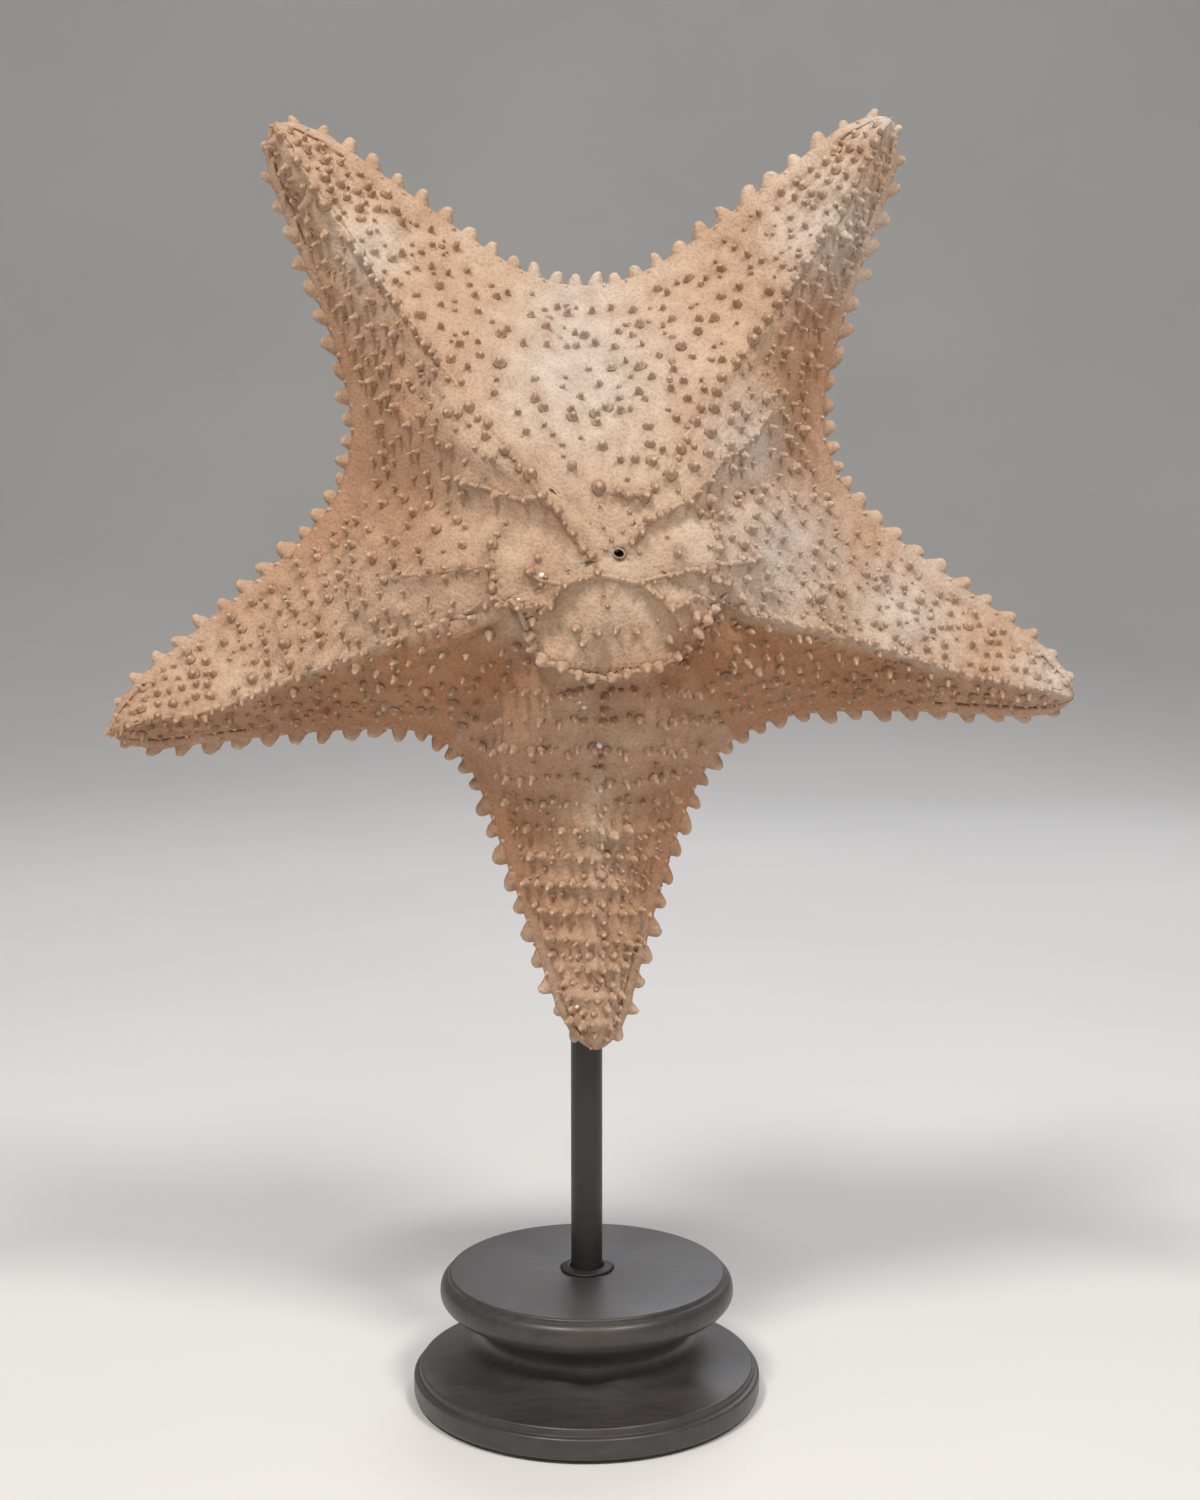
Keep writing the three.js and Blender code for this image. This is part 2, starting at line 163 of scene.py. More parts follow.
def mesh_object(name: str, points: Array, faces: Array, shade_smooth: bool = True) -> bpy.types.Object:
    """Makes a mesh object from arrays, at the origin.

    Args:
        name: the object's and the mesh's name.
        points: (N, 3) places in metres.
        faces: (M, K) corner indices. A corner repeated next to itself is dropped, so that a quad on a pole
            becomes a triangle, and a face left with fewer than three corners goes.
        shade_smooth: whether the faces are shaded as one surface.

    Returns:
        The new object, linked to the scene.
    """
    following = np.roll(faces, -1, axis=1)
    keep = faces != following
    totals = keep.sum(axis=1)
    good = totals >= 3
    corners = faces[good][keep[good]]
    totals = totals[good]
    starts = np.concatenate([[0], np.cumsum(totals)[:-1]])
    mesh = bpy.data.meshes.new(name)
    mesh.vertices.add(len(points))
    mesh.vertices.foreach_set("co", np.ascontiguousarray(points, dtype=np.float32).ravel())
    mesh.loops.add(len(corners))
    mesh.loops.foreach_set("vertex_index", corners.astype(np.int32))
    mesh.polygons.add(len(totals))
    mesh.polygons.foreach_set("loop_start", starts.astype(np.int32))
    mesh.polygons.foreach_set("loop_total", totals.astype(np.int32))
    mesh.update(calc_edges=True)
    mesh.validate()
    if shade_smooth:
        mesh.shade_smooth()
    made = bpy.data.objects.new(name, mesh)
    bpy.context.scene.collection.objects.link(made)
    return made


def add_value(piece: bpy.types.Object, name: str, values: Array) -> None:
    """Stores one number for each vertex as a named attribute."""
    layer = piece.data.attributes.new(name, "FLOAT", "POINT")
    layer.data.foreach_set("value", np.ascontiguousarray(values, dtype=np.float32))


def grid_faces(rows: int, columns: int, wrap_rows: bool = False) -> Array:
    """Quads over a rows by columns grid of points numbered row by row.

    Args:
        rows: number of rows of points.
        columns: points in a row.
        wrap_rows: whether the last row joins the first.

    Returns:
        (M, 4) indices that go along a row first, so that a grid whose rows run round to the left of its
        columns faces outwards.
    """
    row = np.arange(rows if wrap_rows else rows - 1)[:, None]
    column = np.arange(columns - 1)[None]
    here = row * columns + column
    above = ((row + 1) % rows) * columns + column
    return np.stack([here, here + 1, above + 1, above], axis=-1).reshape(-1, 4)


def merged(points: Array, tolerance: float = 1e-4) -> tuple[Array, Array, Array]:
    """Joins points that lie in the same place.

    Args:
        points: (N, 3) places.
        tolerance: the rounding step that makes two places one.

    Returns:
        The kept points, each original's number among them, and a first original for each kept point.
    """
    keys = np.round(points / tolerance).astype(np.int64)
    _, first, back = np.unique(keys, axis=0, return_index=True, return_inverse=True)
    return points[first], back.reshape(-1), first


def nearest(places: Array, points: Array) -> Array:
    """Index of the point nearest to each place, found for some hundred places at a time."""
    squares = (points**2).sum(axis=1)
    parts = [places[start : start + 200] for start in range(0, len(places), 200)]
    return np.concatenate([(squares - 2.0 * part @ points.T).argmin(axis=1) for part in parts])


def vertex_normals(points: Array, faces: Array) -> Array:
    """Area-weighted outward directions at the points of a quad mesh, from the quads' crossed diagonals."""
    across = np.cross(points[faces[:, 2]] - points[faces[:, 0]], points[faces[:, 3]] - points[faces[:, 1]])
    total = np.zeros_like(points)
    for corner in range(4):
        np.add.at(total, faces[:, corner], across)
    return unit(total)


def turned_mesh(name: str, profile: Array, sides: int, wobble: Array | None = None) -> bpy.types.Object:
    """Carries a closed or axis-to-axis profile round the Z axis.

    Args:
        name: the piece's name.
        profile: (N, 2) radius and height in millimetres, from the bottom round the outside to the top.
        sides: number of steps round.
        wobble: optional (sides, N) millimetres added to the radius.

    Returns:
        The object. Point (i, j) stands at the profile's radius j, turned by i / sides of a circle.
    """
    turn = turns(sides)
    radius = np.broadcast_to(profile[:, 0], (sides, len(profile))).copy()
    if wobble is not None:
        radius += wobble * (profile[:, 0] > 1e-6)
    height = np.broadcast_to(profile[:, 1], radius.shape)
    points = np.stack([radius * np.cos(turn), radius * np.sin(turn), height], axis=-1).reshape(-1, 3)
    faces = grid_faces(sides, len(profile), wrap_rows=True)[:, ::-1]
    points, back, _ = merged(points)
    return mesh_object(name, points * MM, back[faces])


def rounded_profile(corners: list[tuple[float, float, float]], steps: int = 5) -> Array:
    """A polyline with its corners rounded.

    Args:
        corners: (radius, height, rounding) of each corner in millimetres.
        steps: points on each rounding.

    Returns:
        (N, 2) points. Each rounding is a quadratic curve between the places where it leaves its two sides.
    """
    made = []
    for index, (radius, height, rounding) in enumerate(corners):
        here = np.array([radius, height])
        if rounding <= 0.0 or index in (0, len(corners) - 1):
            made.append(here[None])
            continue
        before = np.array(corners[index - 1][:2]) - here
        after = np.array(corners[index + 1][:2]) - here
        start = here + before / np.linalg.norm(before) * rounding
        end = here + after / np.linalg.norm(after) * rounding
        t = np.linspace(0.0, 1.0, steps)[:, None]
        made.append((1 - t) ** 2 * start + 2 * t * (1 - t) * here + t**2 * end)
    return np.concatenate(made)


# ------------------------------------------------------------------ the sea star's form


@dataclass(frozen=True)
class Arm:
    """One arm, in millimetres and degrees, anticlockwise as seen from the front."""

    angle: float
    bend: float
    ridge: float
    fall_radius: float
    fall_power: float
    ridge_foot: float


@dataclass(frozen=True)
class Notch:
    """The margin between an arm and the next: its radius, and the power of the slope down to it."""

    radius: float
    slope_power: float


@dataclass(frozen=True)
class HalfArm:
    """The half of an arm that faces one notch. side is +1 for its anticlockwise half."""

    arm_index: int
    notch_index: int
    side: int
    arm: Arm
    notch: Notch
    half_gap: float

    @property
    def notch_x(self) -> float:
        """Distance along the arm of the notch's deepest point."""
        return self.notch.radius * math.cos(self.half_gap)

    @property
    def notch_width(self) -> float:
        """Half-width of the arm at the notch."""
        return self.notch.radius * math.sin(self.half_gap)


@dataclass(frozen=True)
class StarForm:
    """The sea star's smooth body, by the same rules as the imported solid.

    Cross rows run from an arm's ridge over the flank, round the margin and back along the oral side to the
    furrow. Row a goes from 0 at the notch to 1 at the tip. All results are (right, up, front) millimetres
    from the mouth on the oral plane.
    """

    arms: tuple[Arm, ...] = (
        Arm(54.8, -0.8, -5.0, 68.0, 2.4, 11.0),
        Arm(125.5, 3.0, 3.0, 68.0, 2.4, 11.0),
        Arm(199.5, 4.4, 6.5, 66.0, 2.6, 11.0),
        Arm(270.0, 3.0, 4.0, 57.0, 3.3, 12.0),
        Arm(345.1, -5.6, -5.5, 66.0, 2.6, 11.0),
    )
    notches: tuple[Notch, ...] = (
        Notch(77.5, 0.66),
        Notch(75.8, 0.62),
        Notch(73.0, 0.5),
        Notch(73.5, 0.5),
        Notch(78.4, 0.62),
    )
    tip_radius: float = 153.5
    apex_height: float = 53.0
    apex_shift: tuple[float, float] = (8.5, -1.0)
    taper: float = 0.305
    taper_start: float = 53.9
    thickness_disc: float = 10.5
    thickness_arm: float = 8.0
    bulge: float = 3.0
    bend_from: float = 65.0
    round_from: float = 140.0
    tip_mid: float = 6.0
    curl: float = 8.0
    curl_from: float = 75.0
    mouth_radius: float = 9.0
    mouth_depth: float = 8.0
    furrow_depth: float = 5.0
    furrow_half_width: float = 6.2
    furrow_taper: float = 0.024
    fan_start: float = 61.5
    fan_end: float = 92.0

    def halves(self) -> list[HalfArm]:
        """The ten half arms, two beside each notch."""
        made = []
        count = len(self.arms)
        for index, arm in enumerate(self.arms):
            following = self.arms[(index + 1) % count]
            half_gap = math.radians(((following.angle - arm.angle) % 360.0) / 2.0)
            made.append(HalfArm(index, index, 1, arm, self.notches[index], half_gap))
            made.append(HalfArm((index + 1) % count, index, -1, following, self.notches[index], half_gap))
        return made

    def arms_and_notches(self, numbers: Array) -> tuple[Array, Array]:
        """The arm's number and the notch's number of each numbered half arm."""
        halves = self.halves()
        arms = np.array([half.arm_index for half in halves])
        return arms[numbers], np.array([half.notch_index for half in halves])[numbers]

    def tip_share(self, x: Array) -> Array:
        """How far x lies into the rounded end: 0 where it starts, 1 at the tip."""
        return np.clip((x - self.round_from) / (self.tip_radius - self.round_from), 0.0, 1.0)

    def rounding(self, x: Array) -> Array:
        """A quarter ellipse from 1 along the arm to 0 at the tip."""
        return np.sqrt(1.0 - self.tip_share(x) ** 2)

    def row_distance(self, notch_x: float, a: Array) -> Array:
        """Distance along the arm of row a, closer towards the tip."""
        return notch_x + (self.tip_radius - notch_x) * (1.0 - (1.0 - a) ** 1.6)

    def fan_back(self, a: Array) -> Array:
        """How far row a's inner end is drawn back to the centre: 1 at the notch, 0 past the fan."""
        reach = (self.row_distance(self.fan_start, a) - self.fan_start) / (self.fan_end - self.fan_start)
        return 1.0 - smooth(reach)

    def ridge_distance(self, a: Array) -> Array:
        """Distance along the arm of row a's inner end."""
        return self.row_distance(self.fan_start, a) - self.fan_start * self.fan_back(a)

    def outline(self, half: HalfArm, x: Array) -> tuple[Array, Array, Array]:
        """The margin's half-width and outward direction at x.

        The width is a straight taper plus a flare that fades out exponentially from the notch, times the
        rounding. The tangent is its derivative scaled by the rounding, finite at the tip.
        """
        start_slope = 1.0 / math.tan(half.half_gap) - self.taper
        fade = (half.notch_width + self.taper * half.notch_x - self.taper_start) / start_slope
        reach = x - half.notch_x
        square = half.notch_width - self.taper * reach - start_slope * fade * (1.0 - np.exp(-reach / fade))
        rounding = self.rounding(x)
        slope = -self.taper - start_slope * np.exp(-reach / fade)
        closing = square * self.tip_share(x) / (self.tip_radius - self.round_from)
        across = slope * rounding**2 - closing
        length = np.hypot(rounding, across)
        return square * rounding, -across / length, rounding / length

    def ridge_height(self, arm: Arm, x: Array) -> Array:
        """Height of the ridge: full at the centre, half gone at the fall radius, near its foot beyond."""
        fallen = 1.0 + (x / arm.fall_radius) ** arm.fall_power
        height = arm.ridge_foot + (self.apex_height - arm.ridge_foot) / fallen
        return self.tip_mid + (height - self.tip_mid) * self.rounding(x)

    def ridge_shift(self, arm: Arm, x: Array) -> Array:
        """Sideways place of the ridge from the arm's middle line."""
        return arm.ridge * smooth(x / 40.0) * (1.0 - smooth((x - 115.0) / 38.0))

    def margin_thickness(self, x: Array) -> Array:
        """Thickness of the margin, less on the arms than on the disc."""
        return self.thickness_disc + (self.thickness_arm - self.thickness_disc) * smooth((x - 60.0) / 40.0)

    def place(self, half: HalfArm, x: Array, y: Array, height: Array, shift: Array = 0.0) -> Array:
        """Turns arm coordinates into (right, up, front), with the arm's bend and the tip's curl.

        Args:
            half: the half arm, whose side gives y its sign.
            x: distance along the arm.
            y: distance to the side.
            height: height before the oral plane.
            shift: share of the apex's sideways shift to add.

        Returns:
            (..., 3) places.
        """
        angle = math.radians(half.arm.angle)
        bent = np.maximum(0.0, (x - self.bend_from) / (self.tip_radius - self.bend_from))
        across = half.side * y + half.arm.bend * bent**2
        curled = np.maximum(0.0, (x - self.curl_from) / (self.tip_radius - self.curl_from))
        right = x * math.cos(angle) - across * math.sin(angle) + shift * self.apex_shift[0]
        up = x * math.sin(angle) + across * math.cos(angle) + shift * self.apex_shift[1]
        return np.stack([right, up, height + self.curl * curled**2], axis=-1)

    def margin_edge(self, half: HalfArm, x: Array) -> dict[str, Array]:
        """The inset line where the flank meets the bulged margin, and the margin's heights."""
        width, out_x, out_y = self.outline(half, x)
        rounding = self.rounding(x)
        bulge = self.bulge * rounding
        return {
            "x": x - bulge * out_x,
            "y": np.maximum(0.0, width - bulge * out_y),
            "out_x": out_x,
            "out_y": out_y,
            "bulge": bulge,
            "top": self.tip_mid + (self.margin_thickness(x) - self.tip_mid) * rounding,
            "foot": self.tip_mid * (1.0 - rounding),
        }

    def flank_arm(self, half: HalfArm, a: Array, b: Array) -> tuple[Array, Array, Array, Array]:
        """Arm coordinates of the upper side, b from 0 at the margin to 1 at the ridge.

        The profile is a rounded roof on an arm, and on the disc a full cushion, smoothstep(b ^ power),
        mixed by how far the row is fanned back.

        Returns:
            Distance along the arm, distance to the side, height, and share of the apex's shift.
        """
        back = self.fan_back(a)
        ridge_x = self.ridge_distance(a)
        edge = self.margin_edge(half, self.row_distance(half.notch_x, a))
        roof = 1.0 - (1.0 - b) ** 1.35
        cushion = smooth(b**half.notch.slope_power)
        profile = roof + (cushion - roof) * back**0.7
        height = edge["top"] + (self.ridge_height(half.arm, ridge_x) - edge["top"]) * profile
        pull = (1.0 - smooth(ridge_x / 45.0)) * b
        ridge_y = half.side * self.ridge_shift(half.arm, ridge_x)
        x = edge["x"] + (ridge_x - edge["x"]) * b
        y = edge["y"] + (ridge_y - edge["y"]) * b
        return x, y, height, pull

    def flank(self, half: HalfArm, a: Array, b: Array) -> Array:
        """Places on the upper side."""
        return self.place(half, *self.flank_arm(half, a, b))

    def flank_reach(self, half: HalfArm, a: Array, b: Array) -> tuple[Array, Array]:
        """Distance along the arm, and the straight reach from the ridge at that distance."""
        x, y, height, _ = self.flank_arm(half, a, b)
        aside = y - half.side * self.ridge_shift(half.arm, x)
        return x, np.hypot(aside, self.ridge_height(half.arm, x) - height)

    def margin(self, half: HalfArm, a: Array, turn: Array) -> Array:
        """The rounded margin, half an ellipse, turn from pi/2 at its top to -pi/2 at its foot."""
        edge = self.margin_edge(half, self.row_distance(half.notch_x, a))
        outward = edge["bulge"] * np.cos(turn)
        middle, half_height = (edge["top"] + edge["foot"]) / 2, (edge["top"] - edge["foot"]) / 2
        height = middle + half_height * np.sin(turn)
        x = edge["x"] + outward * edge["out_x"]
        y = edge["y"] + outward * edge["out_y"]
        return self.place(half, x, y, height)

    def furrow_edge(self, half: HalfArm, a: Array) -> tuple[Array, Array]:
        """Arm coordinates of the furrow's edge."""
        x = self.row_distance(half.notch_x, a)
        back = self.fan_back(a)
        furrow_x = x - (half.notch_x - self.mouth_radius * math.cos(half.half_gap)) * back
        mouth_width = self.mouth_radius * math.sin(half.half_gap)
        open_width = self.furrow_half_width - self.furrow_taper * furrow_x
        width = (open_width + (mouth_width - open_width) * back) * self.rounding(x)
        return furrow_x, np.minimum(width, self.margin_edge(half, x)["y"])

    def oral(self, half: HalfArm, a: Array, c: Array) -> Array:
        """The under side, c from 0 at the margin to 1 at the furrow's edge, slightly hollow between."""
        edge = self.margin_edge(half, self.row_distance(half.notch_x, a))
        furrow_x, furrow_y = self.furrow_edge(half, a)
        hollow = 0.9 * np.sin(math.pi * c) * (1.0 - edge["foot"] / self.tip_mid)
        x = edge["x"] + (furrow_x - edge["x"]) * c
        y = edge["y"] + (furrow_y - edge["y"]) * c
        return self.place(half, x, y, edge["foot"] + hollow)

    def furrow(self, half: HalfArm, a: Array, d: Array) -> Array:
        """The furrow from its edge, d = 0, down its wall to its middle, d = 1."""
        x = self.row_distance(half.notch_x, a)
        ridge_x = self.ridge_distance(a)
        furrow_x, furrow_y = self.furrow_edge(half, a)
        depth = self.furrow_depth + (self.mouth_depth - self.furrow_depth) * self.fan_back(a)
        foot = self.tip_mid * (1.0 - self.rounding(x))
        middle = self.tip_mid + (depth - self.tip_mid) * self.rounding(ridge_x)
        height = foot + (middle - foot) * smooth(d / 0.6)
        return self.place(half, furrow_x + (ridge_x - furrow_x) * d, furrow_y * (1.0 - d), height)


@dataclass(frozen=True)
class StarSeat:
    """Where the sea star stands in the object's frame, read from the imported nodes."""

    centre_height: float
    oral_plane: float

    @classmethod
    def from_frame(cls) -> "StarSeat":
        """The mouth is 12 mm above the resin bed, and the flat oral side is the star's rearmost face."""
        mouth_above_resin = 12.0
        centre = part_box("resin_bed")[1].z / MM + mouth_above_resin
        return cls(centre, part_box("starfish")[1].y / MM)

    def world(self, places: Array) -> Array:
        """(right, up, front) millimetres to X, Y, Z metres."""
        right, up, front = places[..., 0], places[..., 1], places[..., 2]
        return np.stack([right, self.oral_plane - front, self.centre_height + up], axis=-1) * MM


# ------------------------------------------------------------------ the net of ridges on the disc


@dataclass(frozen=True)
class DiscNet:
    """Ridges and tubercles of the disc, as (right, up) millimetres from the mouth, seen from the front.

    The plates under the hide join into a net round the vent. Below it they end in a lip, whose edge drops
    to the upper end of the lower arm.
    """

    ridges: tuple[Line, ...] = (
        ((-38, 21), (-25, 15.5), (-19, 13.5), (-12.5, 14.5), (-7.5, 10.5), (-3.5, 4), (1.5, -2)),
        ((-22.5, 29), (-15.5, 20), (-12.5, 14.5)),
        ((31, 37), (27, 27), (24, 20.5), (17, 15.5), (10, 15), (4, 16.5)),
        ((29, 13.5), (24.5, 11), (17.5, 7.5), (13, 2)),
        ((29, 13.5), (39, 25), (46, 30), (54, 40)),
        ((29, 13.5), (35, 9), (38, 3), (37.5, -4)),
        (
            (-15.5, -7), (-11.5, -9.5), (-6, -10), (4, -7), (10, -9),
            (15.5, -9.5), (23.5, -7.5), (37, -5), (50, -3),
        ),
        ((-26.5, -5), (-35, -6), (-44.5, -7.5), (-58, -9)),
        ((-22, 6.5), (-26.5, 1), (-26.5, -5)),
        ((-6, -10), (-8, -12), (-10, -15.5), (-14.5, -20)),
        ((15.5, -9.5), (21, -14), (24.5, -17), (30, -26)),
        ((-30, -16), (-18.5, -16.5), (-10, -15.5)),
        ((38.5, -15), (31, -14), (24.5, -17)),
        ((-18.5, -17), (-26.5, -13.5), (-35.5, -19)),
        ((-26.5, -13.5), (-26.5, -5)),
        ((38.5, -15), (43, -16.5), (52, -19.5)),
        ((41, -12), (37.5, -4)),
    )
    lip: Line = (
        (-21, -14), (-18.5, -17), (-15.5, -27), (-12.5, -31.5), (-5.5, -34), (0, -36), (6, -37.5),
        (15, -34.5), (23, -32.5), (28, -29.5), (32, -23.5), (38.5, -15), (41, -12),
    )
    lip_drop: float = 3.6
    vent: tuple[float, float] = (10.0, -1.5)
    large: Line = (
        (-12.5, 14.5), (-15.5, 20), (-4.5, 22.5), (4, 16.5), (24, 20.5), (27, 27), (29, 13.5), (31, 36),
        (18.5, 24), (17, 15.5), (5.5, 29.5), (-21.5, 28), (-26.5, -5), (-18.5, -16.5), (32, -23.5),
    )
    medium: Line = (
        (-3.5, 4), (1.5, -2), (-25, 15.5), (-26.5, 1), (-44.5, -7.5), (-35, -6), (17.5, 7.5), (38, 3),
        (37.5, -4), (-15.5, -7), (-6, -10), (15.5, -9.5), (28.5, -6.5), (14, 24.5), (10.5, 25),
        (-14.5, -20), (21, -14), (30, -26), (-13.5, -3.5), (26, -2), (24.5, -17), (-3, -23), (3.5, -23.5),
        (8.5, -23), (14.5, -23.5), (0, -27), (10, -9), (4, -7), (3.5, 36), (10, 39), (-12, 39.5),
        (-3, 37.5), (25.5, 37), (-7.5, 10.5), (-22, 29), (39, 25), (35, 19.5), (35, 9),
    )
    small: Line = (
        (23.5, 3), (4, 11.5), (13, 10), (5.5, -12.5), (6, -16.5), (20.5, -20), (5, 5.5), (10.5, 4.5),
        (7.5, 2.5), (5.5, -0.5), (15, 2.5), (15, -1), (-8, -12), (24, 11), (20.5, 9), (27, 16),
        (-19, 13.5), (-10.5, 35), (-9, 31.5), (-7.5, 28.5), (-6, 25.5), (12, 20), (-10, 12.5), (-5.5, 7.5),
        (20, -9), (24, -7.5), (-11, -9), (-1.5, -8.5), (33, -14.5), (-22, 6.5),
    )


@dataclass(frozen=True)
class SkinGrid:
    """The star's smooth surface as one closed mesh of quads, with what is known at each point.

    points are (right, up, front). x and across are the place along an arm and the reach from its ridge,
    share is the flank parameter (0 at the margin and all over the under side), under is 1 on the oral
    side, and half numbers the ten half arms.
    """

    points: Array
    faces: Array
    x: Array
    across: Array
    share: Array
    under: Array
    half: Array

    @property
    def plan(self) -> Array:
        """The points seen from the front: (right, up)."""
        return self.points[:, :2]

    def gap(self, right: float = 0.0, up: float = 0.0) -> Array:
        """Distance in plan from a place, or from the mouth."""
        return np.hypot(self.plan[:, 0] - right, self.plan[:, 1] - up)

    def at(self, near: Array, points: Array) -> "SkinGrid":
        """Other points, with what is known at their nearest grid points."""
        known = [values[near] for values in (self.x, self.across, self.share, self.under, self.half)]
        return SkinGrid(points, np.zeros((0, 4), int), *known)


@dataclass
class StarSkin:
    """The sea star's skin: the smooth body with its relief, one closed surface.

    The relief is measured along the body's own normals.
    """

    form: StarForm
    net: DiscNet
    rows: int = 128
    flank_steps: int = 60
    margin_steps: int = 7
    oral_steps: int = 5
    furrow_steps: int = 4
    row_pitch: float = 8.5
    line_pitch: float = 7.6
    ridge_width: float = 1.7
    # Spacing and height of the rows across, on each notch's flanks. The lower arm has its own.
    row_pitches: tuple[float, ...] = (8.5, 5.9, 5.4, 5.4, 5.9)
    row_rises: tuple[float, ...] = (0.0, 0.75, 0.5, 0.5, 0.75)
    lower_arm: int = 3
    lower_row_rise: float = 1.5
    line_rise: float = 0.25
    net_rise: float = 1.25
    panel_sink: float = 0.7
    crest_rise: tuple[float, ...] = (0.8, 0.8, 1.7, 0.3, 1.7)
    net_reach: tuple[float, float] = (30.0, 46.0)

    def grid(self) -> SkinGrid:
        """Joins the ten half arms' grids into one closed mesh."""
        s = np.linspace(0.0, 1.0, self.rows + 1)[:, None]
        # This spacing leaves fewer rows in the rounded tip than equal steps of a would.
        a = 1.0 - (1.0 - s) ** (1.3 / 1.6)
        b = np.linspace(1.0, 0.0, self.flank_steps + 1)[None]
        turn = np.linspace(math.pi / 2, -math.pi / 2, self.margin_steps + 1)[None, 1:]
        c = np.linspace(0.0, 1.0, self.oral_steps + 1)[None, 1:]
        d = np.linspace(0.0, 1.0, self.furrow_steps + 1)[None, 1:]
        columns = b.shape[1] + turn.shape[1] + c.shape[1] + d.shape[1]
        blank = np.zeros((self.rows + 1, columns))
        points, faces, x, across, share, under, half_number = [], [], [], [], [], [], []
        for number, half in enumerate(self.form.halves()):
            bands = [
                self.form.flank(half, a, b),
                self.form.margin(half, a, turn),
                self.form.oral(half, a, c),
                self.form.furrow(half, a, d),
            ]
            along, reach = self.form.flank_reach(half, a, b)
            rest = columns - b.shape[1]
            points.append(np.concatenate(bands, axis=1).reshape(-1, 3))
            x.append(np.concatenate([along, np.repeat(along[:, -1:], rest, axis=1)], axis=1).ravel())
            across.append(np.concatenate([reach, np.repeat(reach[:, -1:], rest, axis=1)], axis=1).ravel())
            share.append((blank + np.concatenate([b[0], np.zeros(rest)])).ravel())
            round_edge = (0.5 - turn[0] / math.pi) ** 3
            oral = np.concatenate([np.zeros(b.shape[1]), round_edge, np.ones(rest - turn.shape[1])])
            under.append((blank + oral).ravel())
            half_number.append(np.full(blank.size, number))
            quads = grid_faces(self.rows + 1, columns)
            faces.append((quads[:, ::-1] if half.side > 0 else quads) + number * blank.size)
        joined, back, first = merged(np.concatenate(points), 1e-3)
        known = [np.concatenate(values)[first] for values in (x, across, share, under, half_number)]
        return SkinGrid(joined, back[np.concatenate(faces)], *known)

    def lip_step(self, plan: Array) -> Array:
        """How far the skin drops outside the lip: full at its edge, recovered some 25 mm further down.

        The side of the lip's nearest stretch that a point lies on comes from the sign of the cross
        product, and the drop fades at the lip's two ends.
        """
        line = np.array(self.net.lip, float)
        along = np.diff(line, axis=0)
        offset, share, gap = from_stretches(plan, line[:-1], along)
        stretch = gap.argmin(axis=1)
        pick = np.arange(len(plan))
        beside = offset[pick, stretch]
        cross = along[stretch, 0] * beside[:, 1] - along[stretch, 1] * beside[:, 0]
        distance = gap[pick, stretch]
        place = (stretch + share[pick, stretch]) / len(along)
        ends = smooth(place / 0.1) * smooth((1.0 - place) / 0.1)
        return np.where(cross < 0.0, smooth(distance / 1.6) * bell(distance, 20.0), 0.0) * ends

    def relief(self, grid: SkinGrid) -> tuple[Array, Array]:
        """Rise of the skin at every point, and how much of it is ridge.

        Arms carry a crest on the ridge line, rows across and lines along, each a Gaussian of the distance
        to the nearest one. Near the centre the disc's own net takes over. Panels between are sunk a
        little, and smooth lumps make every part uneven.
        """
        radius = grid.gap()
        arms, notches = self.form.arms_and_notches(grid.half)
        row_rise = np.where(arms == self.lower_arm, self.lower_row_rise, np.array(self.row_rises)[notches])
        outer = smooth((radius - self.net_reach[0]) / (self.net_reach[1] - self.net_reach[0]))
        row_pitch = np.where(arms == self.lower_arm, self.row_pitch, np.array(self.row_pitches)[notches])
        from_row = grid.x / row_pitch
        from_row = (from_row - np.round(from_row)) * row_pitch
        from_line = grid.across / self.line_pitch
        from_line = (from_line - np.round(from_line)) * self.line_pitch
        uneven = Lumps(26.0, 5).at(grid.points)
        row = cusp(from_row, self.ridge_width) * row_rise * np.clip(0.8 + 0.4 * uneven, 0.3, 1.4)
        line_rise = self.line_rise * (row_rise > 0.0) * np.clip(0.8 - 0.4 * uneven, 0.2, 1.4)
        line = cusp(from_line, self.ridge_width) * line_rise
        crest = np.array(self.crest_rise)[arms] * cusp(grid.across, 2.2) * smooth((grid.x - 34.0) / 10.0)
        crest = crest * (1.0 - 0.6 * smooth((grid.x - 95.0) / 40.0)) * np.clip(0.9 + 0.5 * uneven, 0.3, 1.4)
        near = cusp(distance_to_lines(grid.plan, self.net.ridges + (self.net.lip,)), 1.7) * self.net_rise
        away = smooth((radius - self.net_reach[1] + 6.0) / 14.0)
        raised = np.maximum(np.maximum(row, line) * away, np.maximum(near, crest))
        rise = raised - self.panel_sink * (1.0 - 0.4 * outer)
        rise = rise + 0.55 * Lumps(19.0, 11).at(grid.points) * smooth(radius / 30.0)
        rise = rise + 0.28 * Lumps(7.0, 12).at(grid.points)
        rise = rise - self.net.lip_drop * self.lip_step(grid.plan)
        rise = rise - 2.6 * bell(grid.gap(*self.net.vent), 1.25)
        body = smooth(grid.share / 0.08) * (1.0 - smooth((grid.x - 143.0) / 9.0))
        return rise * body, np.clip(raised / self.net_rise, 0.0, 1.0) * body

